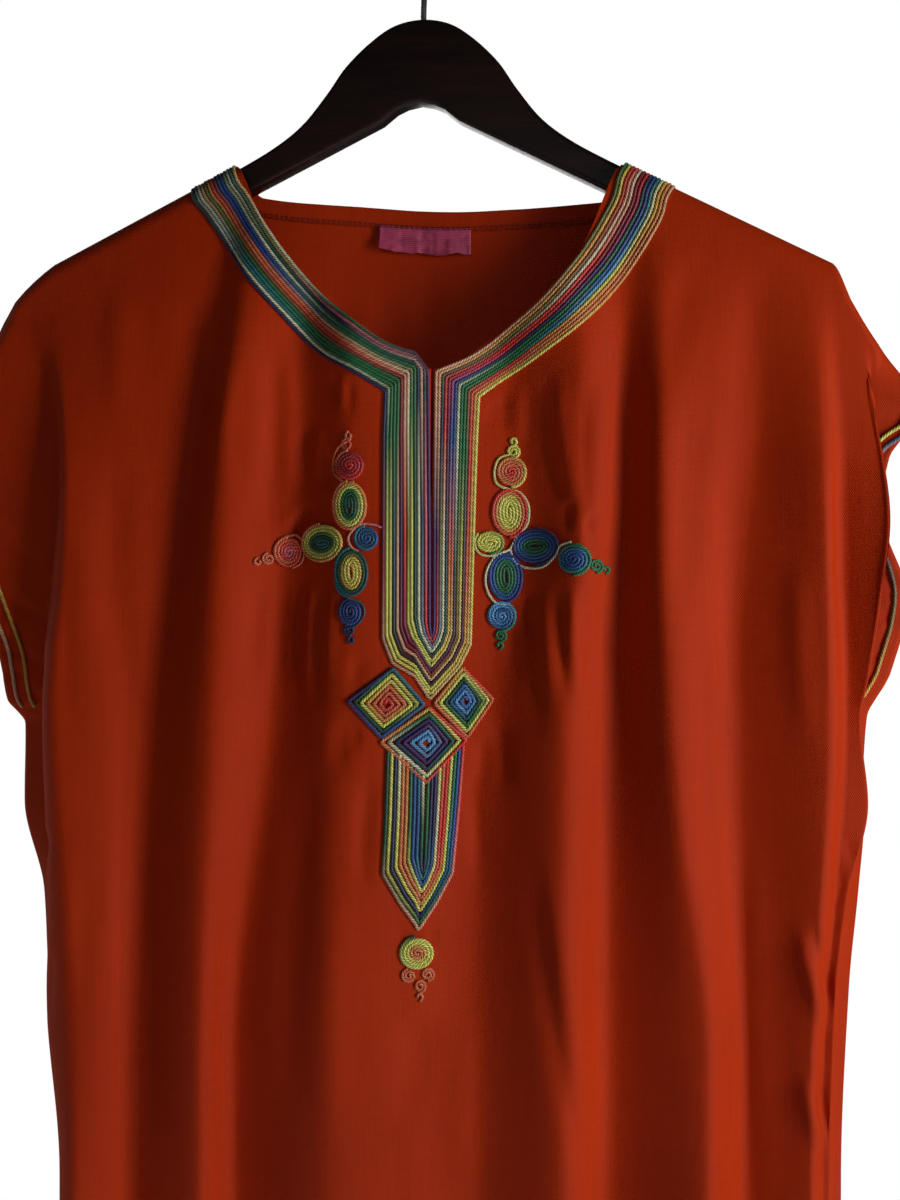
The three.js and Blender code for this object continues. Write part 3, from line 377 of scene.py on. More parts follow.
class Nodes:
    """A small wrapper for building a material."""

    def __init__(self, name):
        self.material = bpy.data.materials.new(name)
        self.material.use_nodes = True
        self.tree = self.material.node_tree
        self.shader = self.tree.nodes["Principled BSDF"]

    def add(self, kind, inputs=None, **settings):
        node = self.tree.nodes.new(kind)
        for key, value in settings.items():
            setattr(node, key, value)
        for key, value in (inputs or {}).items():
            self.put(node.inputs[key], value)
        return node

    def put(self, socket, value):
        if isinstance(value, bpy.types.NodeSocket):
            self.tree.links.new(value, socket)
        else:
            socket.default_value = value

    def math(self, operation, a, b=0.0):
        return self.add("ShaderNodeMath", {0: a, 1: b}, operation=operation).outputs[0]

    def noise(self, vector, scale, detail=2.0, rough=0.5):
        return self.add("ShaderNodeTexNoise", {"Vector": vector, "Scale": scale, "Detail": detail,
                                               "Roughness": rough}).outputs["Fac"]

    def stretch(self, vector, scale):
        return self.add("ShaderNodeMapping", {"Vector": vector, "Scale": scale}).outputs["Vector"]

    def ramp(self, fac, stops):
        node = self.add("ShaderNodeValToRGB", {"Fac": fac})
        ramp = node.color_ramp
        while len(ramp.elements) < len(stops):
            ramp.elements.new(0.5)
        for element, (place, colour) in zip(ramp.elements, stops):
            element.position = place
            element.color = (*colour, 1)
        return node.outputs["Color"]

    def bump(self, height, distance, strength=1.0, under=None):
        inputs = {"Height": height, "Distance": distance, "Strength": strength}
        if under is not None:
            inputs["Normal"] = under
        return self.add("ShaderNodeBump", inputs).outputs["Normal"]

    def set(self, **values):
        for key, value in values.items():
            self.put(self.shader.inputs[key.replace("_", " ")], value)


def srgb(hex_colour):
    parts = [int(hex_colour[i:i + 2], 16) / 255 for i in (0, 2, 4)]
    return tuple(c / 12.92 if c <= 0.04045 else ((c + 0.055) / 1.055) ** 2.4 for c in parts)


def twill_material(name, colour, deep, pitch=0.0011):
    """Satin-faced twill: fine diagonal ribs, slubs along the warp and a soft sheen."""
    m = Nodes(name)
    place = m.add("ShaderNodeTexCoord").outputs["Object"]
    split = m.add("ShaderNodeSeparateXYZ", {"Vector": place}).outputs
    slant = m.math("ADD", m.math("MULTIPLY", split["X"], 1.0), m.math("MULTIPLY", split["Z"], 0.62))
    ribs = m.math("SINE", m.math("MULTIPLY", slant, 2 * math.pi / pitch))
    picks = m.math("SINE", m.math("MULTIPLY", split["Z"], 2 * math.pi / (pitch * 0.8)))
    weave = m.math("ADD", ribs, m.math("MULTIPLY", picks, 0.45))
    warp = m.noise(m.stretch(place, (900, 900, 40)), 1.0, 2)
    weft = m.noise(m.stretch(place, (50, 50, 1100)), 1.0, 2)
    slubs = m.math("ADD", m.math("MULTIPLY", warp, 0.6), m.math("MULTIPLY", weft, 0.4))
    cloudy = m.noise(place, 7.0, 3)
    shade = m.math("ADD", m.math("MULTIPLY", slubs, 0.55), m.math("MULTIPLY", cloudy, 0.45))
    m.set(Base_Color=m.ramp(shade, [(0.3, deep), (0.7, colour)]))
    rough = m.math("ADD", m.math("MULTIPLY", slubs, 0.18), 0.50)
    soft = m.noise(m.stretch(place, (60, 60, 22)), 1.0, 3)
    m.set(Roughness=rough, Specular_IOR_Level=0.12, Sheen_Weight=0.08, Sheen_Roughness=0.4,
          Sheen_Tint=(1.0, 0.2, 0.03, 1))
    fine = m.bump(m.math("ADD", weave, m.math("MULTIPLY", slubs, 1.6)), 0.00006)
    m.set(Normal=m.bump(soft, 0.0009, 0.5, fine))
    return m.material


def cord_material(name):
    """Rayon cord: its colour comes with the mesh, the cord's own colour with painted shade in the grooves between the
    plies, with fibre streaks and a silky highlight.
    """
    m = Nodes(name)
    place = m.add("ShaderNodeTexCoord").outputs["Object"]
    # The colour attribute read here is the cord's own colour multiplied by painted shade, dark in the grooves between
    # the plies.
    dye_and_groove_shade = m.add("ShaderNodeAttribute", attribute_name="dye_and_groove_shade").outputs["Color"]
    fibres = m.noise(place, 2600.0, 2)
    blotch = m.noise(place, 160.0, 2)
    value = m.math("ADD", m.math("MULTIPLY", fibres, 0.5), m.math("ADD", m.math("MULTIPLY", blotch, 0.35), 0.66))
    tint = m.add("ShaderNodeHueSaturation", {"Color": dye_and_groove_shade, "Value": value, "Fac": 1.0}).outputs["Color"]
    m.set(Base_Color=tint, Roughness=0.42, Specular_IOR_Level=0.5, Sheen_Weight=0.1)
    m.set(Normal=m.bump(fibres, 0.00012))
    return m.material


def label_material(name):
    m = Nodes(name)
    place = m.add("ShaderNodeTexCoord").outputs["Object"]
    ribs = m.add("ShaderNodeTexWave", {"Vector": place, "Scale": 260.0, "Distortion": 0.6},
                 bands_direction="Z").outputs["Fac"]
    cloudy = m.noise(place, 220.0, 3)
    shade = m.math("ADD", m.math("MULTIPLY", ribs, 0.2), m.math("MULTIPLY", cloudy, 0.8))
    m.set(Base_Color=m.ramp(shade, [(0.3, srgb("8a2244")), (0.65, srgb("c8446c"))]), Roughness=0.42,
          Sheen_Weight=0.2, Normal=m.bump(shade, 0.0002))
    return m.material


def thread_material(name, colour, dark):
    m = Nodes(name)
    place = m.add("ShaderNodeTexCoord").outputs["Object"]
    fibres = m.noise(m.stretch(place, (700, 2400, 2400)), 1.0, 2)
    m.set(Base_Color=m.ramp(fibres, [(0.3, dark), (0.7, colour)]), Roughness=0.5,
          Normal=m.bump(fibres, 0.00008))
    return m.material


def wood_material(name):
    """Dark stained wood under satin varnish: long grain, pores and a painted highlight, a lighter colour along the
    sharp edges.
    """
    m = Nodes(name)
    place = m.add("ShaderNodeTexCoord").outputs["Object"]
    grain = m.noise(m.stretch(place, (9, 90, 60)), 1.0, 5, 0.6)
    pores = m.noise(m.stretch(place, (60, 900, 700)), 1.0, 2)
    mixed = m.math("ADD", m.math("MULTIPLY", grain, 0.75), m.math("MULTIPLY", pores, 0.25))
    colour = m.ramp(mixed, [(0.32, srgb("0a0403")), (0.52, srgb("1a0a07")), (0.72, srgb("2c110a"))])
    # Painted highlight: the sharpest edges of the bevels are mixed halfway towards a light brown, standing in for light
    # caught along them.
    painted_highlight_pointiness = m.add("ShaderNodeNewGeometry").outputs["Pointiness"]
    edge = m.add("ShaderNodeMapRange", {"Value": painted_highlight_pointiness, "From Min": 0.52, "From Max": 0.62}).outputs["Result"]
    both = m.add("ShaderNodeMix", {"Factor": m.math("MULTIPLY", edge, 0.5), "A": colour,
                                   "B": (*srgb("6e3f28"), 1)}, data_type="RGBA")
    m.set(Base_Color=both.outputs["Result"], Roughness=m.math("ADD", m.math("MULTIPLY", pores, 0.2), 0.28),
          Specular_IOR_Level=0.25, Coat_Weight=0.12, Coat_Roughness=0.2, Normal=m.bump(pores, 0.00008))
    return m.material


def steel_material(name):
    m = Nodes(name)
    place = m.add("ShaderNodeTexCoord").outputs["Object"]
    brushed = m.noise(m.stretch(place, (900, 900, 160)), 1.0, 3)
    m.set(Base_Color=m.ramp(brushed, [(0.3, srgb("a8aaac")), (0.7, srgb("d4d5d6"))]), Metallic=1.0,
          Roughness=m.math("ADD", m.math("MULTIPLY", brushed, 0.16), 0.16), Normal=m.bump(brushed, 0.00003))
    return m.material


def stage_material(name, colour):
    m = Nodes(name)
    place = m.add("ShaderNodeTexCoord").outputs["Object"]
    soft = m.noise(place, 3.0, 3)
    pale = tuple(c * 0.97 for c in colour)
    m.set(Base_Color=m.ramp(soft, [(0.3, pale), (0.7, colour)]), Roughness=0.85,
          Emission_Color=(1, 1, 1, 1), Emission_Strength=0.4)
    return m.material


CLOTH = twill_material("cloth_front", srgb("c03404"), srgb("aa2a02"))
CLOTH_BACK = twill_material("cloth_back", srgb("bc3204"), srgb("a62802"))
CORD = cord_material("cord")
LABEL = label_material("label_satin")
THREAD = thread_material("stitch_thread", srgb("84200f"), srgb("4a0e07"))
WOOD = wood_material("hanger_varnish")
STEEL = steel_material("hook_steel")


# ---------------------------------------------------------------- the two panels
def spread(panel, pitch):
    """Places of the columns: about one every `pitch` at chest height, each fold's own place among them."""
    xs = panel.x(panel.places.astype(float), np.full(len(panel.places), -380.0))
    places = [0.0]
    for k in range(panel.last):
        steps = max(5, int(round(abs(xs[k + 1] - xs[k]) / pitch)))
        places += [k + s / steps for s in range(1, steps + 1)]
    return np.array(places)


def row_shares(roll, upper, near, far):
    """Rows as (zone, share): down the roll, to the underarm, to just out of view and to the hem."""
    rows = [(0, 1 - math.cos(math.pi / 2 * i / roll)) for i in range(roll + 1)]
    rows += [(1, i / upper) for i in range(1, upper + 1)]
    rows += [(2, i / near) for i in range(1, near + 1)]
    rows += [(3, i / far) for i in range(1, far + 1)]
    return rows


LOW_VIEW = -760.0


def grid(panel, pitch, rows):
    u = spread(panel, pitch)
    _, top = panel.top(u)
    underarm = mix(UNDERARM["left"], UNDERARM["right"], u / panel.last)
    start = top - ROLL
    z = np.empty((len(rows), len(u)))
    for i, (zone, share) in enumerate(rows):
        z[i] = (top - share * ROLL, mix(start, underarm, share), mix(underarm, LOW_VIEW, share),
                mix(LOW_VIEW, HEM_Z, share))[zone]
    points = panel.point(np.tile(u, len(rows)), z.ravel()).reshape(len(rows), len(u), 3)
    return u, points


def quads(row_count, column_count, face):
    i, j = np.meshgrid(np.arange(row_count - 1), np.arange(column_count - 1), indexing="ij")
    a = (i * column_count + j).ravel()
    b, c, d = a + 1, a + 1 + column_count, a + column_count
    return np.stack([a, d, c, b] if face < 0 else [a, b, c, d], axis=1)


def wave(t, seed):
    """A slow uneven wave, made of a few sines."""
    return (np.sin(t * 1.0 + seed) + 0.6 * np.sin(t * 1.73 + seed * 2.1) + 0.4 * np.sin(t * 2.9 + seed * 3.7)) / 2


def relief(panel, points):
    """How far each point of a panel's grid stands off its plain form."""
    x, z = points[..., 0], points[..., 2]
    table = FRONT_CREASES if panel.face < 0 else BACK_CREASES
    height = crease_height(table, x.ravel(), z.ravel()).reshape(x.shape)
    height += 0.5 * wave(x / 23 + z / 140, 1.3) * ease((-200 - z) / 80)
    # Puckers where the cords pull the sleeve hems in.
    step = np.linalg.norm(np.diff(points, axis=1), axis=2)
    from_left = np.concatenate([np.zeros((len(x), 1)), np.cumsum(step, axis=1)], axis=1)
    from_right = from_left[:, -1:] - from_left
    for distance, low in ((from_left, UNDERARM["left"]), (from_right, UNDERARM["right"])):
        sleeve = ease((z - low + 6) / 20)
        between = np.exp(-(((distance - 11.5) / 3.6) ** 2)) + 0.5 * np.exp(-(((distance - 2) / 3.2) ** 2))
        height += sleeve * between * (0.9 * wave(z / 3.1, 0.4) + 0.4)
        trail = np.exp(-(((distance - 24) / 9) ** 2)) * sleeve
        height += trail * 0.8 * wave(z / 5.2 + distance / 9, 2.2)
    # Nothing moves along the seams.
    seam = np.minimum(from_left, from_right)
    below = z < np.where(x < 0, UNDERARM["left"], UNDERARM["right"]) + 6
    height *= np.where(below, ease(seam / 7), 1)
    height *= ease((points[0:1, :, 2] - z + 0.5) / 10)
    return height


def panel_points(panel, pitch, rows):
    u, points = grid(panel, pitch, rows)
    faces = quads(len(rows), len(u), panel.face)
    normals = vertex_normals(points.reshape(-1, 3), faces).reshape(points.shape)
    points = points + normals * relief(panel, points)[..., None]
    on_seam = np.zeros(points.shape[:2], bool)
    on_seam[0] = panel.on_shoulder(u)
    underarm_row = next(i for i, r in enumerate(rows) if r[0] == 2) - 1
    on_seam[underarm_row:, 0] = on_seam[underarm_row:, -1] = True
    points[0, on_seam[0], 1] = 0
    points[..., 1] += np.where(on_seam, panel.face * SEAM_GAP / 2, 0)
    return u, points, faces, on_seam


def open_slit(u, points, faces, on_seam):
    """Parts the front's middle column into two edges down to the foot of the slit."""
    j = int(np.argmin(np.abs(u - CENTRE)))
    rows, columns = points.shape[:2]
    depth = (SLIT_TOP - points[:, j, 2]) / SLIT_DEPTH
    gap = np.where(depth < 0.999, mix(1.7, 0.5, np.clip(depth, 0, 1)), 0)
    flat = points.reshape(-1, 3).copy()
    extra, swap = [], {}
    for i in np.nonzero(gap)[0]:
        a = i * columns + j
        right = flat[a].copy()
        flat[a, 0] -= gap[i] / 2
        right[0] += gap[i] / 2
        swap[a] = len(flat) + len(extra)
        extra.append(right)
    low = np.min(faces % columns, axis=1)
    on_right = low == j
    faces = faces.copy()
    table = np.arange(len(flat))
    for a, b in swap.items():
        table[a] = b
    faces[on_right] = table[faces[on_right]]
    flags = np.concatenate([on_seam.ravel(), np.zeros(len(extra), bool)])
    return np.concatenate([flat, np.array(extra)]), faces, flags


FRONT_ROWS = row_shares(10, 84, 88, 62)
BACK_ROWS = row_shares(8, 56, 40, 52)
front_u, front_grid, front_faces, front_seam = panel_points(FRONT, 2.6, FRONT_ROWS)
front_flat, front_quads, front_flags = open_slit(front_u, front_grid, front_faces, front_seam)
front_cloth = shell("front_cloth", front_flat, front_quads, CLOTH, WALL, front_flags)
_, back_grid, back_faces, back_seam = panel_points(BACK, 3.4, BACK_ROWS)
back_cloth = shell("back_cloth", back_grid.reshape(-1, 3), back_faces, CLOTH_BACK, WALL, back_seam.ravel())


# ---------------------------------------------------------------- places on the finished cloth
class Surface:
    """Looks up a panel's finished surface by x and z, or by x and the distance down from the crest."""
    STEP = 1.0
    XS = (-232, 236)      # the x range that the table covers
    HIGHEST = -84
    CHEST_ROW = 60

    def __init__(self, panel, points, low=-700.0):
        self.face = panel.face
        self.xs = np.arange(*self.XS, self.STEP)
        self.zs = np.arange(low, self.HIGHEST, self.STEP)
        columns = points.shape[1]
        chest = points[self.CHEST_ROW, :, 0]
        middle = slice(int(np.argmax(chest > self.XS[0] - 4)),
                       columns - int(np.argmax(chest[::-1] < self.XS[1] + 2)))
        x, y, z = (points[:, middle, i] for i in range(3))
        bare = y / np.maximum(roll_share(np.maximum(0, shoulder_z(x) - z)), 0.12)
        rows = []
        table = np.empty((len(self.zs), x.shape[1]))
        across = np.empty_like(table)
        for j in range(x.shape[1]):
            order = np.argsort(z[:, j])
            table[:, j] = np.interp(self.zs, z[order, j], bare[order, j])
            across[:, j] = np.interp(self.zs, z[order, j], x[order, j])
        for k in range(len(self.zs)):
            order = np.argsort(across[k])
            rows.append(np.interp(self.xs, across[k][order], table[k][order]))
        self.table = np.array(rows)

    def y(self, x, z):
        i = np.clip((z - self.zs[0]) / self.STEP, 0, len(self.zs) - 1.001)
        j = np.clip((x - self.xs[0]) / self.STEP, 0, len(self.xs) - 1.001)
        i0, j0 = i.astype(int), j.astype(int)
        a, b = i - i0, j - j0
        t = self.table
        bare = ((1 - a) * (1 - b) * t[i0, j0] + (1 - a) * b * t[i0, j0 + 1]
                + a * (1 - b) * t[i0 + 1, j0] + a * b * t[i0 + 1, j0 + 1])
        return bare * roll_share(np.maximum(0, shoulder_z(x) - z))

    def at(self, x, s):
        """The point at x and s, s being the distance down the cloth from the crest over the hanger."""
        quarter = ROLL * math.pi / 2
        s = np.maximum(s, 0)
        drop = np.where(s < quarter, ROLL * (1 - np.cos(s / ROLL)), ROLL + s - quarter)
        z = shoulder_z(x) - drop
        return np.stack([x, self.y(x, z), z], axis=1)

    def normal(self, x, s):
        s = np.maximum(s, 1.6)
        along = self.at(x + 1.5, s) - self.at(x - 1.5, s)
        down = self.at(x, s + 1.5) - self.at(x, s - 1.5)
        n = np.cross(down, along) if self.face < 0 else np.cross(along, down)
        return n / np.linalg.norm(n, axis=1)[:, None]

    def off(self, x, s, distance):
        x, s = np.asarray(x, float), np.asarray(s, float)
        return self.at(x, s) + self.normal(x, s) * np.asarray(distance)[..., None]


def slack(x, z):
    drop = np.maximum(0, shoulder_z(x) - z)
    return np.where(drop >= ROLL, drop - ROLL + ROLL * math.pi / 2,
                    ROLL * np.arccos(np.clip(1 - drop / ROLL, -1, 1)))


front_surface = Surface(FRONT, front_grid)
back_surface = Surface(BACK, back_grid)

# ---------------------------------------------------------------- cord work
LAY = 5.6          # length in which the plies turn once
RINGS_A_TURN = 8
DYE_STRENGTH, DYE_LIMIT = 1.8, 0.97
COIL_SPREAD = 0.8
LOZENGE_SPREAD = 1.09
DYES = {
    "black": "1a1418", "navy": "20244a", "purple": "40245e", "plum": "561c48", "blue": "264f88", "royal": "233f80",
    "sky": "5290bc", "teal": "246a72", "deepteal": "1b4450", "grey": "627488", "green": "22663c", "dkgreen": "184630",
    "olive": "6e6a34", "lime": "c0bc4c", "yellow": "f0d45c", "pale": "e8dfa2", "gold": "ca9a3e", "orange": "ea8642",
    "tan": "d29474", "coral": "ea6440", "red": "c62c28", "wine": "7a202a", "pink": "d6646e", "brown": "7a4a2a",
}
PLY_SHADES = (1.0, 0.85, 1.15)
# Painted shade: groove points between the plies take this share of the cord's colour, standing in for the shade in the
# grooves.
PAINTED_GROOVE_SHADE = 0.2


def dye_track(names, shares):
    """Colours along a cord: one name a place, spread evenly, each running slowly into the next."""
    table = np.minimum(np.array([srgb(DYES[n]) for n in names]) * DYE_STRENGTH, DYE_LIMIT)
    if len(table) == 1:
        return np.repeat(table, len(shares), axis=0)
    places = np.linspace(0, 1, len(table))
    return np.stack([np.interp(shares, places, table[:, c]) for c in range(3)], axis=1)


class Cords:
    """Twisted cords gathered into one piece. Each ring has a crest and a groove for each of three plies."""

    def __init__(self, name):
        self.name = name
        self.points, self.faces, self.dyes = [], [], []
        self.count = 0

    def lay(self, path, normals, radius, dyes, squash=0.86):
        """path is evenly spaced, one ring each; dyes is one colour a ring."""
        tangent = np.gradient(path, axis=0)
        tangent /= np.linalg.norm(tangent, axis=1)[:, None]
        up = normals - tangent * np.sum(normals * tangent, axis=1)[:, None]
        up /= np.linalg.norm(up, axis=1)[:, None]
        aside = np.cross(tangent, up)
        n = len(path)
        k = np.arange(6)
        angle = k[None, :] * math.pi / 3 - np.arange(n)[:, None] * 2 * math.pi / RINGS_A_TURN
        reach = radius * np.where(k % 2 == 0, 1.06, 0.72)[None, :]
        rings = (path[:, None, :] + (reach * np.cos(angle))[..., None] * up[:, None, :] * squash
                 + (reach * np.sin(angle))[..., None] * aside[:, None, :])
        # Crest points take their ply's own tone; groove points take the painted groove shade.
        shade = np.where(k % 2 == 0, np.array(PLY_SHADES)[k // 2], PAINTED_GROOVE_SHADE)
        i, j = np.meshgrid(np.arange(n - 1), k, indexing="ij")
        a, b = i * 6 + j, i * 6 + (j + 1) % 6
        quad = np.stack([a, b, b + 6, a + 6], axis=-1).reshape(-1, 4) + self.count
        self.faces += quad.tolist()
        self.faces += [[self.count + x for x in range(5, -1, -1)],
                       [self.count + (n - 1) * 6 + x for x in range(6)]]
        self.points.append(rings.reshape(-1, 3))
        self.dyes.append((dyes[:, None, :] * shade[None, :, None]).reshape(-1, 3))
        self.count += n * 6

    def make(self, *nodes, slot="cord"):
        obj = new_object(self.name, np.concatenate(self.points), self.faces, CORD)
        # The stored colours are the cords' own colours with painted shade in the grooves between the plies.
        add_colours(obj, "dye_and_groove_shade", np.concatenate(self.dyes))
        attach(obj, "root")
        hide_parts(*nodes)
        return obj


def even(points, spacing=LAY / RINGS_A_TURN):
    """Spaces points evenly along their line."""
    along = np.concatenate([[0], np.cumsum(np.linalg.norm(np.diff(points, axis=0), axis=1))])
    places = np.linspace(0, along[-1], max(4, int(round(along[-1] / spacing))))
    return np.stack([np.interp(places, along, points[:, c]) for c in range(points.shape[1])], axis=1)


def rounded(points, reach):
    """Rounds the corners of an evenly spaced line, which keeps its ends."""
    if reach < 1:
        return points
    weights = np.hanning(2 * reach + 3)[1:-1]
    weights /= weights.sum()
    pad = np.concatenate([2 * points[:1] - points[reach:0:-1], points, 2 * points[-1:] - points[-2:-reach - 2:-1]])
    return np.stack([np.convolve(pad[:, c], weights, "valid") for c in range(points.shape[1])], axis=1)


def through(knots, smooth):
    """A line through knots: straight where smooth is False, else a curve with no swing."""
    knots = np.asarray(knots, float)
    if not smooth:
        return np.concatenate([knots[i] + (knots[i + 1] - knots[i]) * np.linspace(0, 1, 30, endpoint=False)[:, None]
                               for i in range(len(knots) - 1)] + [knots[-1:]])
    along = np.concatenate([[0], np.cumsum(np.linalg.norm(np.diff(knots, axis=0), axis=1))])
    t = np.linspace(0, along[-1], 24 * len(knots))
    return np.stack([glide(along, knots[:, c], t) for c in range(knots.shape[1])], axis=1)


def curl(knots, steps=12):
    """A loose curve through knots, swinging as a bent cord does."""
    p = np.asarray(knots, float)
    p = np.concatenate([2 * p[:1] - p[1:2], p, 2 * p[-1:] - p[-2:-1]])
    t = np.linspace(0, 1, steps, endpoint=False)[:, None]
    line = []
    for i in range(1, len(p) - 2):
        a, b, c, d = p[i - 1:i + 3]
        line.append(0.5 * (2 * b + (c - a) * t + (2 * a - 5 * b + 4 * c - d) * t**2 + (3 * b - a - 3 * c + d) * t**3))
    return np.concatenate(line + [p[-2:-1]])


def couch(cords, flat, radius, dyes, reach=2, lift=0.72):
    """Lays a cord on the front along flat, its line as (x, distance down the cloth)."""
    flat = rounded(even(flat), reach)
    path = front_surface.off(flat[:, 0], flat[:, 1], np.full(len(flat), radius * lift))
    # Space the rings by the true length.
    path = even(path)
    share = np.linspace(0, 1, len(path))
    places = even(flat, spacing=LAY / RINGS_A_TURN)
    x = np.interp(share, np.linspace(0, 1, len(places)), places[:, 0])
    s = np.interp(share, np.linspace(0, 1, len(places)), places[:, 1])
    cords.lay(path, front_surface.normal(x, s), radius, dye_track(dyes, share))


def shoulder_turn(outer_x, inner_x):
    rows = []
    for r in (0, 0.06, 0.29, 1):
        drop = r * ROLL
        shift = math.copysign(0.35 * drop, -outer_x)
        a, b = outer_x + shift, inner_x + shift
        rows.append((a, float(shoulder_z(a)) - drop, b, float(shoulder_z(b)) - drop))
    return rows


# Neck band and placket: x and z of the outer line, then of the inner one, from points read off the photograph.
BAND_LEFT = shoulder_turn(-137.5, -111) + [
    (-128.5, -165.5, -100, -157), (-118, -180, -90, -174), (-101.5, -204, -76, -194), (-81.5, -227, -59, -213.5),
    (-59, -249.4, -40, -230), (-32.8, -265, -17, -246.5), (-18.7, -274.1, 6.4, -262.5)]
PLACKET = [
    (-18.7, -274.1, 6.4, -262.5), (-19.8, -300, 6.7, -300), (-20, -350, 7.1, -350), (-20.2, -411, 6.9, -402),
    (-14.8, -425, 7.1, -406), (6, -445, 7.4, -409.0), (22.3, -427, 7.7, -406), (28.8, -414, 7.9, -402),
    (31, -350, 8.1, -350), (32.6, -300, 8.7, -300), (33.7, -277, 9.2, -262.5)]
BAND_RIGHT = [
    (33.7, -277, 9.2, -262.5), (45.2, -268.5, 27, -254.5), (65.8, -256.7, 47, -240.5), (90.1, -239.6, 69, -223),
    (110.5, -216.5, 87.5, -200.5), (119.5, -204.5, 94.5, -189), (127.7, -191.7, 101, -177),
    (134.5, -178, 106.5, -165.5)] + shoulder_turn(140.5, 113)[::-1]
# One row a cord from the outside in: its colours from the left shoulder (3), down the left of the placket
# (2), at its point, up the right (2) and along to the right shoulder (3).
BAND_DYES = [
    "dkgreen navy navy navy wine tan yellow yellow yellow orange tan",
    "navy pale pale green yellow yellow orange orange orange coral orange",
    "pale teal green green lime yellow coral red coral orange gold",
    "orange teal green green deepteal black plum green red lime pale",
    "olive green green green tan tan lime green green sky green",
    "orange brown brown wine navy wine olive green green blue royal",
    "red coral red tan red plum deepteal pale green green navy",
    "navy coral coral pale olive yellow coral blue navy purple red",
    "blue royal tan green yellow yellow coral blue red wine wine",
    "royal royal green green dkgreen dkgreen deepteal plum red red pale",
    "green pale green navy pale pale pale red brown pale red",
    "pale dkgreen navy tan deepteal grey olive navy olive brown red",
    "teal olive pink deepteal pink red plum tan orange orange lime",
    "gold pale green plum purple purple purple tan tan olive green",
]
# The tongue below the lozenges, from the outside in: down the left, at the point, up the right.
TONGUE = [
    (-17.5, -470.2, 3.4, -487.6), (-18.8, -510, 3.0, -512), (-20.5, -541, 2.2, -533), (-10.8, -558, 1.9, -537.5),
    (-0.6, -573.5, 2.1, -538.8), (9.4, -558, 2.3, -537.5), (18.5, -541, 2.6, -533), (21.8, -508, 3.4, -512),
    (25.1, -468.4, 4.2, -487.6)]
TONGUE_DYES = [
    "dkgreen dkgreen tan pink red", "yellow lime green blue blue", "navy navy navy teal green",
    "pale yellow yellow yellow yellow", "orange coral orange red red", "coral orange coral red coral",
    "green green yellow pale yellow", "blue blue blue navy purple", "teal blue teal navy navy",
    "pale green navy green green",
]


def nest(cords, spans, count, dyes, radius):
    """Parallel cords between an outer and an inner line; spans are (stations, smooth)."""
    for i in range(count):
        f = (i + 0.5) / count
        line = []
        for stations, smooth in spans:
            rows = [(mix(ox, ix, f), mix(float(slack(ox, oz)), float(slack(ix, iz)), f)) for ox, oz, ix, iz in stations]
            line.append(through(rows, smooth))
        couch(cords, np.concatenate([line[0]] + [part[1:] for part in line[1:]]), radius, dyes[i].split())


def spiral(cords, centre, outline, depth, pitch, radius, dyes, start=0.0, floor=0.45, move=1.0):
    """Winds a cord from the rim to the middle, moving in over the share `move` of each turn.

    outline(a, inset) gives the place at angle share a, moved in. With a short move the rim is a whole turn."""
    rim, turns, line = radius * 0.85, 0.0, []
    inset = rim
    while inset < depth - floor:
        line.append(outline((start + turns) % 1.0, inset))
        turns += 1 / 64
        steps = turns if move == 1 else max(0.0, math.floor(turns) - 1 + min(1.0, turns % 1 / move))
        inset = rim + pitch * steps
    flat = np.array([(centre[0] + dx, float(slack(centre[0] + dx, centre[1] + dz))) for dx, dz in line])
    couch(cords, flat, radius, dyes, reach=1)


def oval_outline(rx, rz):
    def place(a, inset):
        angle = 2 * math.pi * a
        return max(rx - inset, 0.15) * math.cos(angle), max(rz - inset, 0.15) * math.sin(angle)
    return place


def corner_outline(centre, corners):
    around = [np.array((x - centre[0], z - centre[1])) * LOZENGE_SPREAD for x, z in corners]
    half = min(np.linalg.norm((around[i] + around[(i + 1) % 4]) / 2) for i in range(4))

    def place(a, inset):
        k = int(a * 4) % 4
        share = a * 4 - int(a * 4)
        return tuple((around[k] * (1 - share) + around[(k + 1) % 4] * share) * max(0, 1 - inset / half))
    return place, half


# Lozenges: corners (upper, outer, lower, inner), centre, colours from the rim in.
LOZENGES = {
    "left": (((-14, -427), (-38.2, -445), (-20.2, -464.6), (2.8, -446.7)), (-17.4, -446.9),
             "navy purple blue teal dkgreen dkgreen yellow yellow yellow orange coral coral red"),
    "right": (((23.9, -426.7), (40.4, -444.1), (26.1, -465), (8.6, -446.1)), (25.5, -445.2),
              "red coral coral orange yellow yellow yellow green dkgreen dkgreen blue sky royal"),
    "lower": (((5.7, -449.2), (25.1, -466.5), (4.1, -489.4), (-20, -467.3)), (4.6, -468),
              "red red coral orange yellow pale green deepteal navy purple purple sky sky"),
}
# Coils: centre x, z, half width, half height, colours from the rim in.
SPRAY_LEFT = [
    (-38.2, -298.1, 2.2, 2.5, "coral"), (-39.4, -302.8, 3.2, 3.1, "coral red"),
    (-37.7, -314.3, 8.5, 8.4, "coral red wine red wine red"), (-37.7, -336.6, 10.2, 13.9,
     "coral coral orange yellow yellow green dkgreen dkgreen"),
    (-54.5, -357.1, 13.4, 10.9, "coral orange yellow yellow yellow green dkgreen teal"),
    (-28.2, -354.8, 7.0, 6.9, "teal blue deepteal blue"),
    (-36.5, -373.6, 9.9, 13.6, "teal deepteal dkgreen dkgreen gold yellow gold"),
    (-37.1, -395.6, 6.6, 7.6, "navy royal navy royal navy"), (-37.7, -405.6, 3.2, 3.2, "navy"),
    (-36.5, -411, 2.2, 2.4, "navy"), (-75.9, -361.8, 8.8, 8.7, "coral red coral red pink"),
    (-87.4, -365.6, 3.3, 3.3, "coral"), (-92.6, -367.4, 2.3, 2.2, "coral"),
]
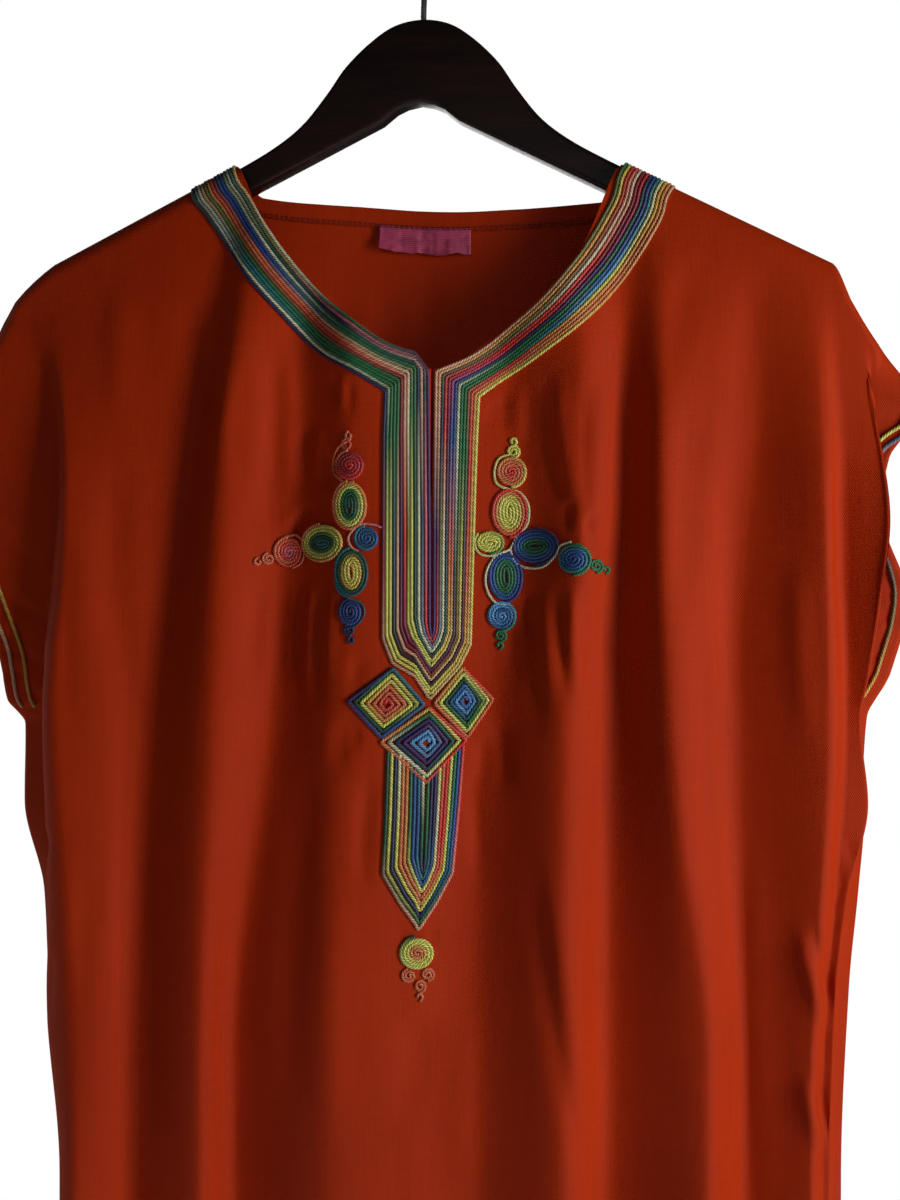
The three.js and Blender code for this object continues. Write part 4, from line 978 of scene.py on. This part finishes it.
SPRAY_RIGHT = [
    (51.9, -301.4, 2.3, 2.4, "yellow"), (51.9, -306.9, 3.8, 3.6, "yellow lime"),
    (50.8, -318.3, 8.5, 8.5, "yellow orange coral coral coral red"),
    (49.7, -340.8, 10.4, 13.7, "red red coral orange yellow yellow lime"),
    (38.9, -357.2, 7.9, 6.4, "green lime yellow yellow"),
    (64.4, -359.5, 13.6, 10.2, "navy purple royal blue blue green dkgreen"),
    (47.5, -376.3, 9.9, 13.8, "purple royal blue blue green green dkgreen"),
    (45.3, -397.7, 8.3, 8.3, "green sky blue sky royal sky"), (44.8, -408.6, 3.4, 3.3, "green"),
    (44.2, -413.8, 2.2, 2.3, "green"), (86.0, -367, 8.9, 8.6, "green green teal blue blue royal"),
    (97.5, -370.5, 3.6, 3.6, "green"), (102.4, -372.2, 2.2, 2.2, "green"),
]
MEDALLION = [
    (-1.1, -584.5, 9.4, 9.2, "dkgreen yellow yellow yellow yellow orange coral"), (-5.6, -597.0, 3.8, 3.8, "coral"),
    (4.4, -596.6, 3.6, 3.6, "coral"), (0.3, -603.0, 3.2, 3.6, "coral"), (0, -608.8, 2.0, 2.6, "coral"),
]
# Loose cords that link the coils: colours, then the places that they run through.
LINKS_LEFT = [
    ("coral coral", (-37, -300, -44, -304, -47.5, -311, -47, -318, -41, -323.5, -35, -323.5)),
    ("pink tan", (-20, -349, -24, -347.5, -30, -347, -35.5, -350, -38.5, -355, -36.5, -360, -33, -362)),
    ("teal navy", (-46, -377, -44, -384, -38, -388, -31, -391, -29.5, -397, -34, -403, -40, -405)),
    ("coral coral", (-78, -353, -71, -352.6, -66.5, -357, -66, -362, -68, -368, -74, -371)),
]
LINKS_RIGHT = [
    ("yellow pale", (50, -308.5, 44, -311, 41.5, -318, 43, -325, 50, -328, 56, -330, 60.6, -337, 60, -347, 54, -354,
                     50, -361)),
    ("pale pale", (50, -361, 53.5, -368.5, 61, -371.5, 70, -370.5, 76.5, -364.5, 79, -359.5, 85, -357.6)),
    ("pale pale", (50, -361, 42, -365, 37.2, -373, 37, -382, 41.5, -390, 49, -391.5)),
    ("yellow pale", (32.6, -352, 30.6, -357, 33, -363, 39, -364.6, 46, -363, 50, -361)),
]


def coils(cords, table, links):
    for x, z, rx, rz, dyes in table:
        small = rx < 4.2
        radius = 0.92 if small else 1.12
        pitch = 1.5 if small else 1.82
        outline = oval_outline(rx + COIL_SPREAD, rz + COIL_SPREAD)
        spiral(cords, (x, z), outline, min(rx, rz) + COIL_SPREAD, pitch, radius, dyes.split(),
               start=0.27 if x < 0 else 0.75, floor=0.8 if small else 0.4)
    for dyes, run in links:
        knots = [(run[i], float(slack(run[i], run[i + 1]))) for i in range(0, len(run), 2)]
        couch(cords, curl(knots), 0.72, dyes.split(), reach=1, lift=1.25)


band = Cords("neck_band_cords")
nest(band, [(BAND_LEFT, True), (PLACKET, False), (BAND_RIGHT, True)], 14, BAND_DYES, 0.98)
band.make("neck_cords")
tongue = Cords("tongue_point_cords")
nest(tongue, [(TONGUE, False)], 10, TONGUE_DYES, 1.08)
tongue.make("tongue_cords")
for name, (corners, centre, dyes) in LOZENGES.items():
    wound = Cords(f"lozenge_{name}_cord")
    outline, half = corner_outline(centre, corners)
    spiral(wound, centre, outline, half, half / 6.6, 1.2, dyes.split(), floor=0.8, move=0.22)
    wound.make(f"lozenge_{name}")
for name, table, links in (("spray_left", SPRAY_LEFT, LINKS_LEFT), ("spray_right", SPRAY_RIGHT, LINKS_RIGHT),
                           ("medallion", MEDALLION, [])):
    wound = Cords(f"{name}_coils")
    coils(wound, table, links)
    wound.make(name)


# ---------------------------------------------------------------- cords along the sleeve hems
# Side, panel, which cord, distance from the hem, colours from the sleeve's tip to the underarm.
SLEEVE_CORDS = [
    ("left", "front", "outer", 7.5, "pink tan tan tan"), ("left", "front", "inner", 16, "gold olive gold gold"),
    ("left", "back", "outer", 7.5, "tan pink tan olive"), ("left", "back", "inner", 16, "olive gold green olive"),
    ("right", "front", "outer", 7.5, "blue grey navy olive gold"),
    ("right", "front", "inner", 16, "yellow yellow green deepteal grey"),
    ("right", "back", "outer", 7.5, "navy grey olive gold"), ("right", "back", "inner", 16, "green deepteal olive yellow"),
]


def sleeve_cord(side, where, name, inset, dyes):
    panel, points, surface_faces = ((FRONT, front_grid, front_faces) if where == "front"
                                    else (BACK, back_grid, back_faces))
    normals = vertex_normals(points.reshape(-1, 3), surface_faces).reshape(points.shape)
    low = UNDERARM[side]
    line, ups = [], []
    for i in range(3, len(points)):
        row, up = (points[i], normals[i]) if side == "left" else (points[i, ::-1], normals[i, ::-1])
        if row[0, 2] < low + 10:
            break
        along = np.concatenate([[0], np.cumsum(np.linalg.norm(np.diff(row[:60], axis=0), axis=1))])
        line.append([np.interp(inset, along, row[:60, c]) for c in range(3)])
        ups.append([np.interp(inset, along, up[:60, c]) for c in range(3)])
    line, ups = np.array(line), np.array(ups)
    ups /= np.linalg.norm(ups, axis=1)[:, None]
    both = even(np.concatenate([line + ups * 0.9, ups], axis=1))
    path = rounded(both[:, :3], 6)
    cords = Cords(f"sleeve_{side}_{where}_{name}_cord")
    cords.lay(path, both[:, 3:], 1.15, dye_track(dyes.split(), np.linspace(0, 1, len(path))))
    return cords.make(f"sleeve_cord_{side}_{where}_{name}")


for row in SLEEVE_CORDS:
    sleeve_cord(*row)

# ---------------------------------------------------------------- inside the back neck
NECK_TOPS = [k[0] for k in BACK.keys[BACK.neck[0]:BACK.neck[1] + 1]]


def back_neck(x):
    return glide([t[0] for t in NECK_TOPS], [t[1] for t in NECK_TOPS], np.clip(x, NECK_TOPS[0][0], NECK_TOPS[-1][0]))


def inside(x, depth, off):
    """A point inside the back, `depth` below the neckline and `off` in front of the panel's outer face."""
    x = np.asarray(x, float)
    return back_surface.off(x, slack(x, back_neck(x) - depth), -np.asarray(off, float) * np.ones_like(x))


def strip(name, xs, depths, off, material, thickness):
    grid_x, grid_d = np.meshgrid(xs, depths)
    points = inside(grid_x.ravel(), grid_d.ravel(), off(grid_x.ravel(), grid_d.ravel()))
    faces = quads(len(depths), len(xs), -1)
    return shell(name, points, faces, material, thickness, np.zeros(len(points), bool))


neck_hem = strip("neck_hem_fold", np.linspace(-107, 109, 170), np.array([-0.6, 0.4, 2, 4, 6, 8, 9.4, 10.4]),
                 lambda x, d: WALL + 1.15 + 0.18 * wave(x / 6, 0.7) - 0.25 * ease((d - 9) / 1.4), CLOTH_BACK, 0.8)
LABEL_AT = (-30.0, 24.5, 9.0, 24.0)


def label_off(x, d):
    across = (x - LABEL_AT[0]) / (LABEL_AT[1] - LABEL_AT[0])
    down = (d - LABEL_AT[2]) / (LABEL_AT[3] - LABEL_AT[2])
    lift = 0.9 * wave(across * 9, 0.9) * down**1.5 + 0.35 * wave(across * 31, 2.0) * down
    curl_in = 4.2 * np.clip(down - 0.35 - across * 1.6, 0, 1) ** 1.3
    return WALL + 2.5 + 0.7 * down + lift + curl_in


def label_piece():
    xs, depths = np.linspace(LABEL_AT[0], LABEL_AT[1], 56), np.linspace(LABEL_AT[2], LABEL_AT[3], 22)
    grid_x, grid_d = np.meshgrid(xs, depths)
    x, d = grid_x.ravel(), grid_d.ravel()
    across = (x - LABEL_AT[0]) / (LABEL_AT[1] - LABEL_AT[0])
    down = (d - LABEL_AT[2]) / (LABEL_AT[3] - LABEL_AT[2])
    rag = d + down**3 * (0.9 * wave(across * 12, 0.3) + 0.4 * wave(across * 40, 1.1))
    rag -= 4.5 * np.clip(down - 0.45 - across * 2.2, 0, 1)
    points = inside(x, rag, label_off(x, d))
    return shell("label_satin", points, quads(len(depths), len(xs), -1), LABEL, 0.35, np.zeros(len(points), bool))


label = label_piece()


def stitches(name, runs, material):
    """Short threads lying on the cloth. Each run is (start points, end points, normals)."""
    points, faces = [], []
    for a, b, up in runs:
        along = b - a
        length = np.linalg.norm(along)
        along = along / length
        side = np.cross(along, up)
        for share, rise, thick in ((0, -0.12, 0.12), (0.2, 0.08, 0.27), (0.8, 0.08, 0.27), (1, -0.12, 0.12)):
            centre = a + along * length * share + up * rise
            for k in range(6):
                angle = k * math.pi / 3
                points.append(centre + side * thick * math.cos(angle) + up * thick * math.sin(angle))
        base = len(points) - 24
        for r in range(3):
            for k in range(6):
                a0, b0 = base + r * 6 + k, base + r * 6 + (k + 1) % 6
                faces.append([a0, b0, b0 + 6, a0 + 6])
        faces.append([base + k for k in range(5, -1, -1)])
        faces.append([base + 18 + k for k in range(6)])
    return new_object(name, points, faces, material)


def neck_runs():
    runs = []
    for depth in (8.4, 9.8):
        for x in np.arange(-104, 104, 3.1):
            ends = np.array([x, x + 2.3])
            in_label = (ends.mean() > LABEL_AT[0]) & (ends.mean() < LABEL_AT[1]) & (depth > 9)
            off = WALL + 2.05 + 0.18 * wave(ends / 6, 0.7) + (0.95 if in_label else 0)
            p = inside(ends, depth, off)
            up = -back_surface.normal(ends, slack(ends, back_neck(ends) - depth))[0]
            runs.append((p[0], p[1], up))
            outer = inside(ends, depth, -0.06)
            runs.append((outer[0], outer[1], -up))
    return runs


neck_stitches = stitches("neck_topstitch", neck_runs(), THREAD)
for piece, node, part in ((neck_hem, "back_neck_hem", "cloth"), (label, "label", "label")):
    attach(piece, "root")
    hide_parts(node)
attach(neck_stitches, "root")

# ---------------------------------------------------------------- hanger
HANGER = {"thickness": 12.0, "bevel": 2.6, "clear": 2.7, "arm_start": 110, "arm_end": 199, "tip": 212,
          "tip_drop": 201, "apex": -106.0, "under": 0.495}
HUMP = [(0, -59), (16, -62), (30, -71), (44, -84.5), (55, -100), (69, -117), (86, -130)]


def tilted(points):
    """Turns points about Y by the garment's tilt, as the hanger hangs."""
    p = np.asarray(points, float)
    c, s = math.cos(TILT), math.sin(TILT)
    return np.stack([p[:, 0] * c + p[:, 2] * s, p[:, 1], p[:, 2] * c - p[:, 0] * s], axis=1)


def hanger_outline():
    arm = [(x, SHOULDER_PEAK - HANGER["clear"] - x * 0.5) for x in (HANGER["arm_start"], 140, 170, HANGER["arm_end"])]
    top = curl([(-16, -62)] + HUMP + arm, 8)[8:]
    tip = [(HANGER["tip"] - 4, SHOULDER_PEAK - HANGER["clear"] - HANGER["tip"] * 0.5 + 0.8),
           (HANGER["tip"] - 0.8, -HANGER["tip_drop"] + 3), (HANGER["tip"], -HANGER["tip_drop"]),
           (HANGER["tip"] - 1.4, -HANGER["tip_drop"] - 4),
           (HANGER["tip"] - 4, HANGER["apex"] - HANGER["under"] * HANGER["tip"] + 4)]
    under = [(x, HANGER["apex"] - HANGER["under"] * x) for x in np.linspace(HANGER["arm_end"], 22, 30)]
    under += [(14, HANGER["apex"] - 4.4), (8, HANGER["apex"] - 1.6), (0, HANGER["apex"])]
    half = np.concatenate([top, tip, under])
    return np.concatenate([half, np.stack([-half[-2:0:-1, 0], half[-2:0:-1, 1]], axis=1)])


def hanger_piece():
    outline = hanger_outline()
    ahead, behind = np.roll(outline, -1, axis=0), np.roll(outline, 1, axis=0)
    along = ahead - behind
    along /= np.linalg.norm(along, axis=1)[:, None]
    inward = np.stack([along[:, 1], -along[:, 0]], axis=1)
    if np.sum((outline - outline.mean(axis=0)) * inward) > 0:
        inward = -inward
    half, bevel = HANGER["thickness"] / 2, HANGER["bevel"]
    rings = []
    steps = [math.pi / 2 * i / 5 for i in range(6)]
    for angle in steps:
        rings.append((bevel * (1 - math.sin(angle)), -half + bevel * (1 - math.cos(angle))))
    for angle in reversed(steps):
        rings.append((bevel * (1 - math.sin(angle)), half - bevel * (1 - math.cos(angle))))
    n = len(outline)
    points = []
    for inset, y in rings:
        ring = outline + inward * inset
        points.append(np.stack([ring[:, 0], np.full(n, y), ring[:, 1]], axis=1))
    faces = [[r * n + k, r * n + (k + 1) % n, (r + 1) * n + (k + 1) % n, (r + 1) * n + k]
             for r in range(len(rings) - 1) for k in range(n)]
    faces.append(list(range(n))[::-1])
    faces.append([(len(rings) - 1) * n + k for k in range(n)])
    obj = new_object("hanger_arms", tilted(np.concatenate(points)), faces, WOOD)
    bm = bmesh.new()
    bm.from_mesh(obj.data)
    bm.normal_update()
    caps = [f for f in bm.faces if len(f.verts) > 4]
    for f in caps:
        f.smooth = False
    bmesh.ops.triangulate(bm, faces=caps)
    bmesh.ops.recalc_face_normals(bm, faces=bm.faces)
    bm.to_mesh(obj.data)
    bm.free()
    return obj


HOOK_RADIUS, WIRE = 17.0, 1.7


def hook_piece():
    radius = HOOK_RADIUS + WIRE
    knots = [(0, -60.5), (0, -50), (0.6, -44), (5, -37)]
    knots += [(radius * math.cos(math.radians(d)), radius * math.sin(math.radians(d)) - HOOK_RADIUS)
              for d in (-45, -15, 15, 45, 75, 105, 135, 165, 195, 212)]
    line = even(curl(knots), 0.9)
    path = np.stack([line[:, 0], np.zeros(len(line)), line[:, 1]], axis=1)
    tangent = np.gradient(path, axis=0)
    tangent /= np.linalg.norm(tangent, axis=1)[:, None]
    aside = np.array([0.0, 1.0, 0.0])
    out = np.cross(tangent, aside)
    sides = 20
    angle = np.arange(sides) * 2 * math.pi / sides
    size = np.full(len(path), WIRE)
    end = np.linspace(0, 1, 6)
    size[-6:] = WIRE * np.sqrt(np.clip(1 - end**2, 0.02, 1))
    rings = (path[:, None] + size[:, None, None] * (np.cos(angle)[None, :, None] * out[:, None]
             + np.sin(angle)[None, :, None] * aside))
    n = len(path)
    faces = [[i * sides + k, i * sides + (k + 1) % sides, (i + 1) * sides + (k + 1) % sides, (i + 1) * sides + k]
             for i in range(n - 1) for k in range(sides)]
    faces += [list(range(sides))[::-1], [(n - 1) * sides + k for k in range(sides)]]
    return new_object("hanger_wire_hook", tilted(rings.reshape(-1, 3)), faces, STEEL)


for piece, node, part in ((hanger_piece(), "hanger_wood", "hanger_wood"), (hook_piece(), "hanger_hook", "hook_steel")):
    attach(piece, "root")
    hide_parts(node)

# ---------------------------------------------------------------- camera, stage and lights
VIEW = math.radians(8.5)
DISTANCE = 0.750
TARGET = Vector((0.014, 0.0, -0.389))
FOCAL_PIXELS, FRAME_HEIGHT = 1316.0, 1200.0


def make_camera():
    data = bpy.data.cameras.new("camera")
    data.sensor_fit = "VERTICAL"
    data.sensor_height = 24.0
    data.lens = FOCAL_PIXELS / FRAME_HEIGHT * data.sensor_height
    data.clip_start, data.clip_end = 0.01, 30
    camera = bpy.data.objects.new("camera", data)
    camera.location = TARGET + DISTANCE * Vector((math.sin(VIEW), -math.cos(VIEW), 0))
    camera.rotation_euler = (TARGET - camera.location).to_track_quat("-Z", "Y").to_euler()
    bpy.context.scene.collection.objects.link(camera)
    bpy.context.scene.camera = camera


def make_stage():
    """A round pale floor under the hem. It ends before the photograph's frame would see it."""
    floor_z, radius, sides = -1580, 1700, 96
    angles = np.arange(sides) * 2 * math.pi / sides
    points = np.stack([radius * np.cos(angles), radius * np.sin(angles), np.full(sides, floor_z)], axis=1)
    paper = stage_material("studio_paper", (0.86, 0.86, 0.85))
    stage = new_object("studio_floor", points, [list(range(sides))], paper)


WORLD_LIGHT = 0.032   # what the surround gives the object; the camera sees it at 1


def make_world():
    """A white surround that the camera sees, with little light of its own."""
    world = bpy.data.worlds.new("studio")
    world.use_nodes = True
    tree = world.node_tree
    back = tree.nodes["Background"]
    back.inputs["Color"].default_value = (1, 1, 1, 1)
    seen = tree.nodes.new("ShaderNodeLightPath").outputs["Is Camera Ray"]
    strength = tree.nodes.new("ShaderNodeMapRange")
    strength.inputs["To Min"].default_value = WORLD_LIGHT
    tree.links.new(seen, strength.inputs["Value"])
    tree.links.new(strength.outputs["Result"], back.inputs["Strength"])
    bpy.context.scene.world = world


def area_light(name, place, target, size, power):
    data = bpy.data.lights.new(name, "AREA")
    data.shape, data.size, data.size_y = "RECTANGLE", size[0], size[1]
    data.energy = power
    light = bpy.data.objects.new(name, data)
    light.location = place
    light.rotation_euler = (Vector(target) - Vector(place)).to_track_quat("-Z", "Y").to_euler()
    bpy.context.scene.collection.objects.link(light)


NECK_SPOT = {"watts": 3.0, "degrees": 17, "radius": 0.08, "place": (0.1, -0.9, -0.05), "target": (0.01, 0, -0.24)}


def neck_spot():
    """A soft beam into the neck, so that the inside of the back isn't lost in the band's shadow."""
    data = bpy.data.lights.new("neck_spot", "SPOT")
    data.energy, data.spot_size = NECK_SPOT["watts"], math.radians(NECK_SPOT["degrees"])
    data.spot_blend, data.shadow_soft_size = 1.0, NECK_SPOT["radius"]
    light = bpy.data.objects.new("neck_spot", data)
    light.location = NECK_SPOT["place"]
    light.rotation_euler = (Vector(NECK_SPOT["target"]) - light.location).to_track_quat("-Z", "Y").to_euler()
    bpy.context.scene.collection.objects.link(light)


make_camera()
make_stage()
neck_spot()
# Name, place, target, width and height in metres, and watts.
LIGHTS = [
    ("key", (1.0, -0.52, -0.42), (0.0, 0, -0.5), (0.3, 0.8), 8.8),
    ("front_fill", (-0.2, -1.9, -0.2), (0.0, 0, -0.5), (1.2, 1.6), 0.62),
    ("back_fill", (-0.9, 2.0, 0.1), (0.0, 0, -0.6), (1.4, 1.8), 24),
    ("left_fill", (-2.2, 0.5, -0.3), (0.0, 0, -0.6), (0.8, 1.6), 5),
]
for row in LIGHTS:
    area_light(*row)
make_world()
bpy.context.scene.view_settings.view_transform = "Standard"

# ---------------------------------------------------------------- what stands for what
for piece, node, part in ((front_cloth, "front_panel", "cloth"), (back_cloth, "back_panel", "cloth")):
    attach(piece, "root")
    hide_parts(node)
